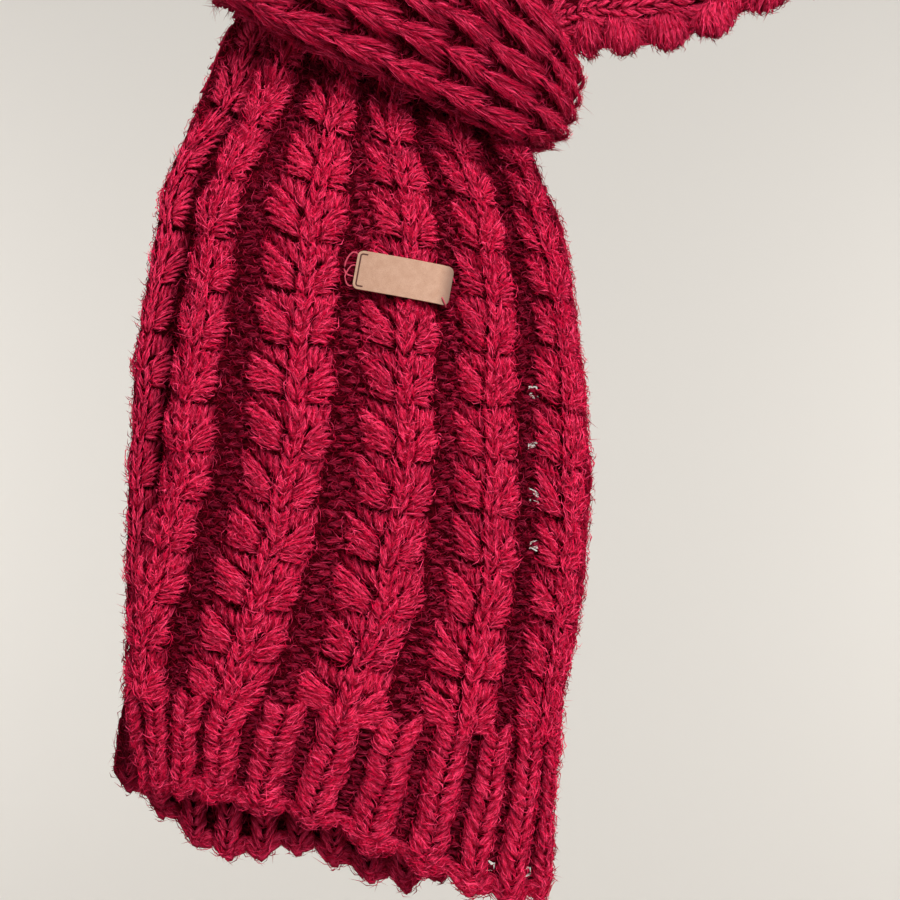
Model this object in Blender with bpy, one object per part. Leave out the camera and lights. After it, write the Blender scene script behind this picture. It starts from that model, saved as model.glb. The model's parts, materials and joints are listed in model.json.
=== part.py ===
"""A chunky knit scarf, worn doubled round the neck with both ends drawn through the fold.

One long strip, five wheat-ear ribs wide, makes two strands. The outer strand starts in the
loop at the knot, crosses in front of the ends, goes round the neck and hangs as the front
end. The inner strand starts behind the ends and goes round under the outer one to the back
end. Each stretch of a strand is one wall: plain inside, with the ribs raised outside.

Metres, +Z up, the front faces -Y. The origin is the middle of the neck that it is wound on.
Tables are in millimetres.
"""

import math
from typing import NamedTuple

import bmesh
import bpy
import numpy as np

MM = 0.001
EARS = 5
WALL = 2.6
EAR_HEIGHT = 4.4
# From the outer strand round the neck to the one under it, and between the ends of two
# stretches of one strand.
LAYER = 8.2
SEAM = 0.3
# An ear swells once in each pitch. Its wings swell earlier, by this many pitches for each rib
# width out from the spine, and sink by this share of the height between swells.
PUFF_PITCH = 15.5
WING_RISE = 1.5
WING_SINK = 0.4
SPINE_SINK = 0.2
# Where the spine ends, where the wings are whole and where an ear falls off, in rib widths
# out from its middle.
SPINE_END = 0.05
WING_START = 0.25
EAR_EDGE = 0.3
VALLEY = 0.5
HEM_LENGTH = 34.0
HEM_RIBS = 10
HEM_RIB_HEIGHT = 2.4
# The ears die out over this stretch, from above the hem to just inside it.
HEM_ABOVE = 5.0
HEM_INSIDE = 2.0
EVEN = (0.1, 0.3, 0.5, 0.7, 0.9)
# Steps along and across a surface between the two points that give its direction.
ON_STEP = 0.5
DOWN_STEP = 0.01
# The least gap between a row of points and the end of its stretch, in steps.
NEAREST_ROW = 0.2

LABEL_SIZE = (28.6, 11.4, 1.4)
LABEL_CORNER = 1.6
LABEL_MIDDLE = (-69.6, -136.4)
LABEL_TILT = math.radians(-10.4)
LABEL_CURL = 0.010
LABEL_GAP = 0.5
LABEL_STEPS = 12
# The part of the middle ear that the label rests on.
LABEL_REST = (0.4, 0.6)

WOOL = (0.36, 0.004, 0.028)
DEEP_WOOL = (0.24, 0.003, 0.018)
LEATHER = (0.62, 0.36, 0.24)


class Row(NamedTuple):
    """A row of knitting: its upper or left selvedge, its lower or right one, and its form.

    The bow lifts the middle of the row, the fold lifts each ear over the valleys beside it, and
    ears are the shares of the row's width at which the ears lie.
    """

    name: str
    first: tuple
    last: tuple
    bow: float = 0.0
    fold: float = 0.0
    ears: tuple = EVEN


LOOP_AND_CROSSING = (
    Row("loop back", (-28.0, -83.5, -76.0), (-33.0, -83.5, -97.0)),
    Row("loop side", (-20.0, -93.0, -74.0), (-27.0, -93.0, -97.5), 0.5),
    Row("loop front", (-25.0, -105.2, -61.0), (-34.0, -102.8, -95.5), 1.0, 0.5),
    Row("crossing right", (-42.0, -103.5, -41.0), (-52.0, -103.5, -87.5), 2.5, 1.5),
    Row("crossing", (-66.0, -102.5, -25.0), (-77.0, -103.5, -75.5), 3.5, 2.0),
    Row("crossing left", (-90.0, -95.0, -9.0), (-103.0, -99.0, -64.0), 4.0, 2.0),
    Row("shoulder", (-102.0, -76.0, 6.0), (-119.0, -84.0, -53.0), 4.0, 2.0),
    Row("left front", (-99.0, -46.0, 20.0), (-127.0, -56.0, -43.0), 4.0, 2.0),
)
ROUND_THE_NECK = (
    Row("left", (-92.0, -14.0, 32.0), (-125.0, -20.0, -33.0), 4.0, 2.0),
    Row("left side", (-87.0, 8.0, 38.0), (-119.0, 12.0, -26.0), 4.0, 2.0),
    Row("left back", (-72.0, 41.0, 47.0), (-96.0, 54.0, -18.0), 4.0, 2.0),
    Row("back left", (-40.0, 67.0, 54.0), (-51.0, 88.0, -12.0), 4.0, 2.0),
    Row("back", (0.0, 76.0, 57.0), (0.0, 98.0, -9.0), 4.0, 2.0),
    Row("back right", (38.0, 67.0, 54.0), (47.0, 87.0, -10.0), 4.0, 2.0),
    Row("right back", (68.0, 39.0, 47.0), (89.0, 49.0, -13.0), 4.0, 2.0),
    Row("right side", (80.0, -6.0, 39.0), (105.0, -8.0, -19.0), 4.0, 2.0),
    Row("right front", (67.0, -46.0, 29.0), (87.0, -60.0, -31.0), 4.0, 2.0),
    Row("front right", (40.0, -72.0, 19.0), (45.0, -89.0, -47.0), 4.0, 2.0),
    Row("front", (8.0, -83.0, 12.0), (7.0, -98.0, -62.0), 4.0, 2.0),
    Row("way in", (-27.0, -88.0, 11.0), (-14.0, -95.3, -63.5), 2.4, 1.0),
    Row("turning down", (-66.0, -89.5, 1.0), (-29.0, -95.5, -72.0), 1.5, 0.5),
)
EARS_OVER_HEM = (0.03, 0.22, 0.5, 0.78, 0.96)
EARS_AT_EDGE = (0.09, 0.28, 0.53, 0.74, 0.92)
FRONT_END = (
    Row("front seam", (-94.0, -89.0, -25.0), (-33.0, -95.2, -86.0)),
    Row("under", (-116.0, -88.0, -77.0), (-32.0, -95.2, -99.0), 2.0, 0.5, (0.08, 0.32, 0.52, 0.74, 0.94)),
    Row("upper", (-128.0, -96.0, -114.0), (-23.5, -98.0, -122.0), 4.0, 1.5, (0.04, 0.31, 0.57, 0.78, 0.94)),
    Row("label", (-133.8, -100.5, -141.0), (-20.0, -99.0, -144.0), 5.0, 1.8, (0.05, 0.31, 0.57, 0.79, 0.95)),
    Row("middle", (-136.5, -103.5, -171.0), (-17.0, -99.5, -173.0), 6.0, 2.0, (0.04, 0.3, 0.56, 0.77, 0.95)),
    Row("lower", (-139.6, -104.0, -198.0), (-15.6, -99.5, -203.0), 6.5, 2.0, (0.04, 0.29, 0.56, 0.77, 0.94)),
    Row("flare", (-145.0, -104.0, -226.5), (-19.0, -99.5, -235.0), 7.0, 2.0, (0.03, 0.27, 0.55, 0.78, 0.95)),
    Row("ear ends", (-148.0, -104.0, -254.0), (-25.5, -99.5, -268.0), 7.0, 1.5, EARS_OVER_HEM),
    Row("front hem", (-142.6, -104.0, -286.0), (-27.0, -99.5, -314.0), 6.0, 1.0, EARS_AT_EDGE),
)
BEHIND_THE_ENDS = (
    Row("under right", (-29.0, -75.7, -75.0), (-34.0, -75.7, -96.5)),
    Row("under middle", (-50.0, -75.2, -42.0), (-56.0, -76.2, -86.0)),
    Row("under left", (-76.0, -70.2, -18.0), (-84.0, -72.2, -70.0)),
    Row("under shoulder", (-89.0, -59.2, 3.0), (-105.0, -65.7, -52.0), 2.0, 1.0),
    Row("under left front", (-90.5, -40.2, 17.0), (-118.0, -48.2, -45.0), 4.0, 2.0),
)
EARS_BY_SELVEDGE = (0.035, 0.28, 0.5, 0.7, 0.9)
BACK_END = (
    Row("back seam", (-94.0, -81.5, -25.0), (-33.0, -87.7, -86.0)),
    Row("left tuck", (-111.0, -75.1, -38.0), (-34.0, -87.1, -91.0)),
    Row("tuck end", (-124.5, -74.6, -58.0), (-36.0, -87.1, -95.0)),
    Row("below tuck", (-131.0, -78.1, -77.0), (-38.0, -87.3, -101.0), 1.0),
    Row("back upper", (-140.0, -84.1, -101.0), (-40.0, -89.1, -112.0), 2.0, 0.5, EARS_BY_SELVEDGE),
    Row("back label", (-145.5, -89.1, -129.0), (-42.0, -91.1, -134.0), 3.0, 1.0, EARS_BY_SELVEDGE),
    Row("back middle", (-149.5, -92.6, -160.0), (-44.0, -92.6, -163.0), 4.0, 1.0, EARS_BY_SELVEDGE),
    Row("back lower", (-151.0, -94.1, -188.0), (-45.0, -93.6, -192.0), 4.0, 1.0, EARS_BY_SELVEDGE),
    Row("back flare", (-152.2, -94.6, -223.0), (-47.0, -94.1, -228.0), 4.0, 1.0, EARS_BY_SELVEDGE),
    Row("back ear ends", (-151.5, -94.6, -252.0), (-48.0, -94.1, -268.0), 4.0, 1.0, EARS_BY_SELVEDGE),
    Row("back hem", (-157.4, -94.6, -283.0), (-44.0, -94.1, -309.0), 3.0, 0.5),
)
# How far the cast-on edge hangs below the straight line between its corners: at the first
# selvedge, at each ear and at the last selvedge.
FRONT_HEM_DROP = (0.0, -1.0, -2.5, -3.0, 5.0, 7.0, 0.0)
BACK_HEM_DROP = (0.0, 5.0, 15.0, 8.0, 12.5, 5.0, 0.0)


def smooth(knots, values, at):
    """The smooth curve through values, which has one entry for each knot, read at places."""
    knots = np.asarray(knots, float)
    values = np.asarray(values, float)
    slopes = np.gradient(values, knots, axis=0)
    left = np.clip(np.searchsorted(knots, at, side="right") - 1, 0, len(knots) - 2)
    step = knots[left + 1] - knots[left]
    shape = (-1,) + (1,) * (values.ndim - 1)
    t = ((at - knots[left]) / step).reshape(shape)
    step = step.reshape(shape)
    start = (1 + 2 * t) * (1 - t) ** 2 * values[left] + t * (1 - t) ** 2 * step * slopes[left]
    end = t * t * (3 - 2 * t) * values[left + 1] + t * t * (t - 1) * step * slopes[left + 1]
    return start + end


def ramp(low, high, value):
    """0 below low, 1 above high, and a soft step between them."""
    t = np.clip((value - low) / (high - low), 0, 1)
    return t * t * (3 - 2 * t)


def outwards(surface, along, across):
    """The outward direction at each point of a surface, which takes places along and across."""
    on = surface(along + ON_STEP, across) - surface(along - ON_STEP, across)
    down = surface(along, across + DOWN_STEP) - surface(along, across - DOWN_STEP)
    out = np.cross(on, down)
    return out / np.linalg.norm(out, axis=2, keepdims=True)


def row_places(rows):
    """How far along its strand each row lies, measured down the middle of the cloth."""
    middles = np.array([np.add(row.first, row.last) / 2 for row in rows])
    return np.concatenate([[0], np.cumsum(np.linalg.norm(np.diff(middles, axis=0), axis=1))])


def inset(rows, depth):
    """The same rows, moved in towards the neck by depth, for the strand that lies underneath."""
    ends = np.array([(row.first, row.last) for row in rows], float)
    on = np.gradient(ends, axis=0).mean(axis=1)
    out = np.cross(on, ends[:, 1] - ends[:, 0])
    ends -= depth * (out / np.linalg.norm(out, axis=1, keepdims=True))[:, None, :]
    return tuple(row._replace(first=tuple(pair[0]), last=tuple(pair[1])) for row, pair in zip(rows, ends))


class Strand:
    """A strip of cloth through rows of knitting, from the loop to its cast-on edge."""

    def __init__(self, rows, hem_drop):
        self.rows = rows
        self.places = row_places(rows)
        self.length = self.places[-1]
        self.hem_drop = hem_drop

    def place(self, name):
        """How far along the strand the named row lies."""
        return self.places[[row.name for row in self.rows].index(name)]

    def straight_rows(self, along, across):
        """Points of straight rows from selvedge to selvedge, a row for each place along."""
        first = smooth(self.places, [row.first for row in self.rows], along)
        last = smooth(self.places, [row.last for row in self.rows], along)
        shares = smooth(self.places, [(0, *row.ears, 1) for row in self.rows], along)
        share = smooth((0, *EVEN, 1), shares.T, across).T
        grid = first[:, None] + (last - first)[:, None] * share[:, :, None]
        hem = ramp(self.length - HEM_LENGTH, self.length, along)
        drop = smooth((0, *EVEN, 1), self.hem_drop, across)
        grid[:, :, 2] -= hem[:, None] * drop[None, :]
        return grid

    def bowed_rows(self, along, across):
        """Points of the rows, each bowed outwards between its selvedges."""
        bow = smooth(self.places, [row.bow for row in self.rows], along)
        lift = bow[:, None] * (4 * across * (1 - across))[None, :]
        out = outwards(self.straight_rows, along, across)
        return self.straight_rows(along, across) + out * lift[:, :, None]

    def sides(self, along, across):
        """Points of the side next to the neck and of the ribbed side, a row for each place along."""
        fold = smooth(self.places, [row.fold for row in self.rows], along)
        wave = 0.5 - 0.5 * np.cos(2 * math.pi * EARS * across)
        lift = fold[:, None] * wave[None, :]
        thick = lift + WALL + self.relief(along, across)
        middle = self.bowed_rows(along, across)
        out = outwards(self.bowed_rows, along, across)
        return middle + out * lift[:, :, None], middle + out * thick[:, :, None]

    def relief(self, along, across):
        """Height of the ears, and of the hem's ribs, over the wall."""
        beside = np.abs((across * EARS) % 1 - 0.5)[None, :]
        along = np.asarray(along)[:, None]
        body = 1 - ramp(EAR_EDGE, VALLEY, beside)
        wing = ramp(SPINE_END, WING_START, beside)
        pitches = (self.length - along) / PUFF_PITCH - WING_RISE * beside
        sunk = 0.5 - 0.5 * np.cos(2 * math.pi * pitches)
        ear = body * (1 - (SPINE_SINK + WING_SINK * wing) * sunk) * EAR_HEIGHT
        rib = HEM_RIB_HEIGHT * (0.5 - 0.5 * np.cos(2 * math.pi * HEM_RIBS * across[None, :]))
        hem_start = self.length - HEM_LENGTH
        hem = ramp(hem_start - HEM_ABOVE, hem_start + HEM_INSIDE, along)
        return ear * (1 - hem) + rib * hem

    def stretch(self, start, end, steps, columns):
        """The plain side and the ribbed side between two named rows, in steps for each puff."""
        low = self.place(start) + (SEAM / 2 if start != self.rows[0].name else 0)
        high = self.place(end) - (SEAM / 2 if end != self.rows[-1].name else 0)
        step = PUFF_PITCH / steps
        # Rows that keep step with the ears, none of them too near the two ends.
        along = self.length - step * np.arange(math.ceil(self.length / step))[::-1]
        near = NEAREST_ROW * step
        along = along[(along > low + near) & (along < high - near)]
        along = np.concatenate([[low], along, [high]])
        if len(along) % 2 == 0:
            along = np.insert(along, -1, (along[-2] + high) / 2)
        return self.sides(along, np.linspace(0, 1, columns + 1))


def principled(name, colour, roughness):
    """A Principled material in a plain colour."""
    material = bpy.data.materials.new(name)
    material.use_nodes = True
    shader = material.node_tree.nodes["Principled BSDF"]
    shader.inputs["Base Color"].default_value = (*colour, 1)
    shader.inputs["Roughness"].default_value = roughness
    shader.inputs["Metallic"].default_value = 0
    return material


def add_object(name, points, faces, material):
    """A mesh object from points in millimetres, with its faces turned outwards."""
    mesh = bpy.data.meshes.new(name)
    mesh.from_pydata([tuple(MM * c for c in point) for point in points], [], faces)
    form = bmesh.new()
    form.from_mesh(mesh)
    bmesh.ops.recalc_face_normals(form, faces=form.faces)
    form.to_mesh(mesh)
    form.free()
    mesh.shade_smooth()
    mesh.set_sharp_from_angle(angle=math.radians(60))
    mesh.materials.append(material)
    piece = bpy.data.objects.new(name, mesh)
    bpy.context.scene.collection.objects.link(piece)
    return piece


def rim(rows, columns):
    """Grid places round the edge of a grid, in order."""
    top = [(0, c) for c in range(columns)]
    right = [(r, columns) for r in range(rows)]
    bottom = [(rows, c) for c in range(columns, 0, -1)]
    left = [(r, 0) for r in range(rows, 0, -1)]
    return top + right + bottom + left


def cloth_wall(name, inner, outer, material):
    """A closed wall between a fine outer grid and an inner one of half its rows and columns."""
    rows, columns = outer.shape[0] - 1, outer.shape[1] - 1
    inner = inner[::2, ::2]
    points = [*outer.reshape(-1, 3), *inner.reshape(-1, 3)]

    def out(r, c):
        return r * (columns + 1) + c

    def inn(r, c):
        return (rows + 1) * (columns + 1) + r * (columns // 2 + 1) + c

    faces = []
    for r in range(rows):
        for c in range(columns):
            faces.append((out(r, c), out(r, c + 1), out(r + 1, c + 1), out(r + 1, c)))
    for r in range(rows // 2):
        for c in range(columns // 2):
            faces.append((inn(r, c), inn(r + 1, c), inn(r + 1, c + 1), inn(r, c + 1)))
    fine = [out(r, c) for r, c in rim(rows, columns)]
    coarse = [inn(r, c) for r, c in rim(rows // 2, columns // 2)]
    for k, here in enumerate(coarse):
        there = coarse[(k + 1) % len(coarse)]
        start, middle, end = fine[2 * k], fine[2 * k + 1], fine[(2 * k + 2) % len(fine)]
        faces.append((here, middle, start))
        faces.append((here, there, middle))
        faces.append((there, end, middle))
    return add_object(name, points, faces, material)


def leather_label(front, material):
    """A small bare leather plate that lies on the middle ear of the front end."""
    width, height, thickness = LABEL_SIZE
    steps = LABEL_STEPS
    places = np.linspace(-width / 2, width / 2, steps + 1)
    # The corners are cut off: the first column and the last one are narrower than the rest.
    halves = np.full(steps + 1, height / 2)
    halves[[0, -1]] -= LABEL_CORNER
    along = np.arange(front.place("upper"), front.place("middle"))
    ear = front.sides(along, np.linspace(*LABEL_REST, 2 * steps))[1]
    near = np.abs(ear[:, :, 2] - LABEL_MIDDLE[1]) < height / 2
    rest = ear[:, :, 1][near].min() - LABEL_GAP
    points = []
    for side in (0.0, -thickness):
        for edge in (-1, 1):
            for place, half in zip(places, edge * halves):
                x = place * math.cos(LABEL_TILT) - half * math.sin(LABEL_TILT)
                z = place * math.sin(LABEL_TILT) + half * math.cos(LABEL_TILT)
                y = rest + side + LABEL_CURL * place * place
                points.append((LABEL_MIDDLE[0] + x, y, LABEL_MIDDLE[1] + z))
    line = steps + 1
    faces = []
    for k in range(steps):
        faces.append((k, k + 1, line + k + 1, line + k))
        faces.append((2 * line + k, 3 * line + k, 3 * line + k + 1, 2 * line + k + 1))
        faces.append((k, 2 * line + k, 2 * line + k + 1, k + 1))
        faces.append((line + k, line + k + 1, 3 * line + k + 1, 3 * line + k))
    faces.append((0, line, 3 * line, 2 * line))
    faces.append((steps, 2 * line + steps, 3 * line + steps, line + steps))
    return add_object("label", points, faces, material)


def main():
    for piece in list(bpy.data.objects):
        bpy.data.objects.remove(piece)
    wool = principled("wool", WOOL, 0.9)
    deep_wool = principled("deep wool", DEEP_WOOL, 0.95)
    leather = principled("leather", LEATHER, 0.6)
    front = Strand(LOOP_AND_CROSSING + ROUND_THE_NECK + FRONT_END, FRONT_HEM_DROP)
    round_under = inset(LOOP_AND_CROSSING[-1:] + ROUND_THE_NECK + FRONT_END[:1], LAYER)[1:-1]
    back = Strand(BEHIND_THE_ENDS + round_under + BACK_END, BACK_HEM_DROP)
    cloth_wall("knot_band", *front.stretch("loop back", "left", 4, 30), wool)
    cloth_wall("wrap_outer", *front.stretch("left", "front seam", 2, 20), wool)
    cloth_wall("tail_front", *front.stretch("front seam", "front hem", 4, 30), wool)
    cloth_wall("knot_under", *back.stretch("under right", "left", 1, 10), deep_wool)
    cloth_wall("wrap_inner", *back.stretch("left", "back seam", 1, 10), deep_wool)
    cloth_wall("tail_back", *back.stretch("back seam", "back hem", 2, 20), deep_wool)
    leather_label(front, leather)


main()
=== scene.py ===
"""A chunky knit scarf, worn doubled round the neck with both ends drawn through the fold.

The stitches are knitted flat, in millimetres, by Geometry Nodes: x runs across the strip from
its first selvedge, -y runs along it towards the cast-on edge and z stands out from the plain
side. They are then laid on the stretch of the scarf that they belong to, and a nap of loose
fibres is brushed over them.
"""

import json
import logging
import math
from dataclasses import dataclass, field
from enum import Enum
from typing import Callable, ClassVar, Optional, Sequence

import bmesh
import bpy
import numpy as np
from bpy.types import Collection, ID, Material, Mesh, Node, NodeSocket, NodeTree, Object
from mathutils import Matrix, Vector

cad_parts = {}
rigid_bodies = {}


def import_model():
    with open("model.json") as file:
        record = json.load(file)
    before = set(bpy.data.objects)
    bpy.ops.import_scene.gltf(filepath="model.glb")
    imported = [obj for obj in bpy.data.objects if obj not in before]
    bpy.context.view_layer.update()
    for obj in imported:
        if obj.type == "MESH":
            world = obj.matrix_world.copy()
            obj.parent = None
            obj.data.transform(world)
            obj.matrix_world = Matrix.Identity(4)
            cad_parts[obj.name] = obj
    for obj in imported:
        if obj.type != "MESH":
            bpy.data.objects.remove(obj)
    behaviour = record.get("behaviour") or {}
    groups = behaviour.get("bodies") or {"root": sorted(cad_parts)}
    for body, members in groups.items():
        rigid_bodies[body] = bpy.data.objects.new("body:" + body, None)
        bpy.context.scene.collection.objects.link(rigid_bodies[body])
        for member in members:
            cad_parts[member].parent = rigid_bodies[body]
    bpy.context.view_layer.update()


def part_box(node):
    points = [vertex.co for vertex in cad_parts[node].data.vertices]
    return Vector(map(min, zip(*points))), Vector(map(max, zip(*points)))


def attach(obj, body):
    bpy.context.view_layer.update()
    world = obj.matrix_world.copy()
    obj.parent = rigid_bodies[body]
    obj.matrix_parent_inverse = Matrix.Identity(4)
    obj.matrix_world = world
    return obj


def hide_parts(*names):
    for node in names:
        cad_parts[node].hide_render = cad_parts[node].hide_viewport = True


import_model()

LOG = logging.getLogger("scarf")
MM = 0.001
BODY = "root"
WOOL_SLOT = "wool"
LEATHER_SLOT = "leather"

# The strip of knitting, as cut and as gathered.
EARS = 5
CUT_WIDTH = 155.0
EAR_PITCH = CUT_WIDTH / EARS
BUNCHED_WIDTH = 67.0
BUNCHED_PITCH = BUNCHED_WIDTH / EARS
PUFF_PITCH = 15.5
ROWS_A_PUFF = 3
STITCH_ROW = PUFF_PITCH / ROWS_A_PUFF
HEM_LENGTH = 34.0
HEM_RIBS = 11
HEM_ROWS = 7
CAST_ON_LINKS = 33
CAST_ON_STEP = CUT_WIDTH / CAST_ON_LINKS
LAYER = 8.2
SEAM = 0.3
VARIANTS = 4
EVEN = (0.1, 0.3, 0.5, 0.7, 0.9)

# The share of a leg's thickness at each point between its tips, and how uneven legs are.
LEG_TAPER = np.array([0.85, 1.05, 0.85])
UNEVEN = 0.3

# How far purl bumps step sideways from row to row, as a share of their width.
ZIGZAG = 0.22

# Heights over the plain side: the cloth that the stitches stand on and the top of an ear.
CLOTH_TOP = 1.9
CLOTH_THICKNESS = 1.2
EAR_TOP = 7.0

# The values of the attribute height, which carries the painted shade, in full shade, half light and full
# light.
SHADE_STOPS = (0.25, 0.44, 0.62)

# Steps along and across a surface between the two points that give its direction, and a step
# along a yarn.
ON_STEP = 0.5
DOWN_STEP = 0.01
RUN_STEP = 0.4

Point = tuple[float, float, float]
Colour = tuple[float, float, float]


@dataclass(frozen=True)
class Row:
    """A row of knitting, from its upper or left selvedge to its lower or right one, in mm."""

    name: str
    first: Point
    last: Point
    bow: float = 0.0
    fold: float = 0.0
    ears: tuple[float, ...] = EVEN


LOOP_AND_CROSSING = (
    Row("loop back", (-28.0, -83.5, -76.0), (-33.0, -83.5, -97.0)),
    Row("loop side", (-20.0, -93.0, -74.0), (-27.0, -93.0, -97.5), 0.5),
    Row("loop front", (-25.0, -105.2, -61.0), (-34.0, -102.8, -95.5), 1.0, 0.5),
    Row("crossing right", (-42.0, -103.5, -41.0), (-52.0, -103.5, -87.5), 2.5, 1.5),
    Row("crossing", (-66.0, -102.5, -25.0), (-77.0, -103.5, -75.5), 3.5, 2.0),
    Row("crossing left", (-90.0, -95.0, -9.0), (-103.0, -99.0, -64.0), 4.0, 2.0),
    Row("shoulder", (-102.0, -76.0, 6.0), (-119.0, -84.0, -53.0), 4.0, 2.0),
    Row("left front", (-99.0, -46.0, 20.0), (-127.0, -56.0, -43.0), 4.0, 2.0),
)
ROUND_THE_NECK = (
    Row("left", (-92.0, -14.0, 32.0), (-125.0, -20.0, -33.0), 4.0, 2.0),
    Row("left side", (-87.0, 8.0, 38.0), (-119.0, 12.0, -26.0), 4.0, 2.0),
    Row("left back", (-72.0, 41.0, 47.0), (-96.0, 54.0, -18.0), 4.0, 2.0),
    Row("back left", (-40.0, 67.0, 54.0), (-51.0, 88.0, -12.0), 4.0, 2.0),
    Row("back", (0.0, 76.0, 57.0), (0.0, 98.0, -9.0), 4.0, 2.0),
    Row("back right", (38.0, 67.0, 54.0), (47.0, 87.0, -10.0), 4.0, 2.0),
    Row("right back", (68.0, 39.0, 47.0), (89.0, 49.0, -13.0), 4.0, 2.0),
    Row("right side", (80.0, -6.0, 39.0), (105.0, -8.0, -19.0), 4.0, 2.0),
    Row("right front", (67.0, -46.0, 29.0), (87.0, -60.0, -31.0), 4.0, 2.0),
    Row("front right", (40.0, -72.0, 19.0), (45.0, -89.0, -47.0), 4.0, 2.0),
    Row("front", (8.0, -83.0, 12.0), (7.0, -98.0, -62.0), 4.0, 2.0),
    Row("way in", (-27.0, -88.0, 11.0), (-14.0, -95.3, -63.5), 2.4, 1.0),
    Row("turning down", (-66.0, -89.5, 1.0), (-29.0, -95.5, -72.0), 1.5, 0.5),
)
EARS_OVER_HEM = (0.03, 0.22, 0.5, 0.78, 0.96)
EARS_AT_EDGE = (0.02, 0.125, 0.39, 0.70, 0.93)
FRONT_END = (
    Row("front seam", (-94.0, -89.0, -25.0), (-33.0, -95.2, -86.0)),
    Row("under", (-116.0, -88.0, -77.0), (-32.0, -95.2, -99.0), 2.0, 0.5, (0.08, 0.32, 0.52, 0.74, 0.94)),
    Row("upper", (-128.0, -96.0, -114.0), (-23.5, -98.0, -122.0), 4.0, 1.5, (0.04, 0.31, 0.57, 0.78, 0.94)),
    Row("label", (-133.8, -100.5, -141.0), (-20.0, -99.0, -144.0), 5.0, 1.8, (0.05, 0.31, 0.57, 0.79, 0.95)),
    Row("middle", (-136.5, -103.5, -171.0), (-17.0, -99.5, -173.0), 6.0, 2.0, (0.04, 0.3, 0.56, 0.77, 0.95)),
    Row("lower", (-139.6, -104.0, -198.0), (-15.6, -99.5, -203.0), 6.5, 2.0, (0.04, 0.29, 0.56, 0.77, 0.94)),
    Row("flare", (-145.0, -104.0, -226.5), (-19.0, -99.5, -235.0), 7.0, 2.0, (0.03, 0.27, 0.55, 0.78, 0.95)),
    Row("ear ends", (-148.0, -104.0, -254.0), (-25.5, -99.5, -268.0), 7.0, 1.5, EARS_OVER_HEM),
    Row("front hem", (-142.6, -104.0, -286.0), (-27.0, -99.5, -314.0), 6.0, 1.0, EARS_AT_EDGE),
)
BEHIND_THE_ENDS = (
    Row("under right", (-29.0, -75.7, -75.0), (-34.0, -75.7, -96.5)),
    Row("under middle", (-50.0, -75.2, -42.0), (-56.0, -76.2, -86.0)),
    Row("under left", (-76.0, -70.2, -18.0), (-84.0, -72.2, -70.0)),
    Row("under shoulder", (-89.0, -59.2, 3.0), (-105.0, -65.7, -52.0), 2.0, 1.0),
    Row("under left front", (-90.5, -40.2, 17.0), (-118.0, -48.2, -45.0), 4.0, 2.0),
)
EARS_BY_SELVEDGE = (0.035, 0.28, 0.5, 0.7, 0.9)
BACK_END = (
    Row("back seam", (-94.0, -81.5, -25.0), (-33.0, -87.7, -86.0)),
    Row("left tuck", (-111.0, -75.1, -38.0), (-34.0, -87.1, -91.0)),
    Row("tuck end", (-124.5, -74.6, -58.0), (-36.0, -87.1, -95.0)),
    Row("below tuck", (-131.0, -78.1, -77.0), (-38.0, -87.3, -101.0), 1.0),
    Row("back upper", (-140.0, -84.1, -101.0), (-40.0, -89.1, -112.0), 2.0, 0.5, EARS_BY_SELVEDGE),
    Row("back label", (-145.5, -89.1, -129.0), (-42.0, -91.1, -134.0), 3.0, 1.0, EARS_BY_SELVEDGE),
    Row("back middle", (-149.5, -92.6, -160.0), (-44.0, -92.6, -163.0), 4.0, 1.0, EARS_BY_SELVEDGE),
    Row("back lower", (-151.0, -94.1, -188.0), (-45.0, -93.6, -192.0), 4.0, 1.0, EARS_BY_SELVEDGE),
    Row("back flare", (-152.2, -94.6, -223.0), (-47.0, -94.1, -228.0), 4.0, 1.0, EARS_BY_SELVEDGE),
    Row("back ear ends", (-151.5, -94.6, -252.0), (-48.0, -94.1, -268.0), 4.0, 1.0, EARS_BY_SELVEDGE),
    Row("back hem", (-157.4, -94.6, -283.0), (-44.0, -94.1, -309.0), 3.0, 0.5),
)
# How far the cast-on edge hangs below the straight line between its corners: at the first
# selvedge, at each ear and at the last selvedge.
FRONT_HEM_DROP = (0.0, -1.0, -2.5, -3.0, 5.0, 7.0, 0.0)
BACK_HEM_DROP = (0.0, 5.0, 15.0, 8.0, 12.5, 5.0, 0.0)


# --- Forms ---


def smooth(knots: Sequence[float], values: Sequence, at: np.ndarray) -> np.ndarray:
    """The smooth curve through values, read at places.

    Args:
        knots: Where each value lies, in rising order.
        values: A number or a row of numbers for each knot.
        at: The places to read.

    Returns:
        A number or a row of numbers for each place.
    """
    knots = np.asarray(knots, float)
    values = np.asarray(values, float)
    slopes = np.gradient(values, knots, axis=0)
    left = np.clip(np.searchsorted(knots, at, side="right") - 1, 0, len(knots) - 2)
    step = knots[left + 1] - knots[left]
    shape = (-1,) + (1,) * (values.ndim - 1)
    t = ((at - knots[left]) / step).reshape(shape)
    step = step.reshape(shape)
    start = (1 + 2 * t) * (1 - t) ** 2 * values[left] + t * (1 - t) ** 2 * step * slopes[left]
    end = t * t * (3 - 2 * t) * values[left + 1] + t * t * (t - 1) * step * slopes[left + 1]
    return start + end


def ramp(low: float, high: float, value: np.ndarray) -> np.ndarray:
    """A soft step.

    Args:
        low: Where the step starts.
        high: Where it ends.
        value: The places to read.

    Returns:
        0 below low, 1 above high and a soft step between them.
    """
    t = np.clip((value - low) / (high - low), 0, 1)
    return t * t * (3 - 2 * t)


def unit(vectors: np.ndarray) -> np.ndarray:
    """The vectors, each one long."""
    return vectors / np.maximum(np.linalg.norm(vectors, axis=-1, keepdims=True), 1e-9)


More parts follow.
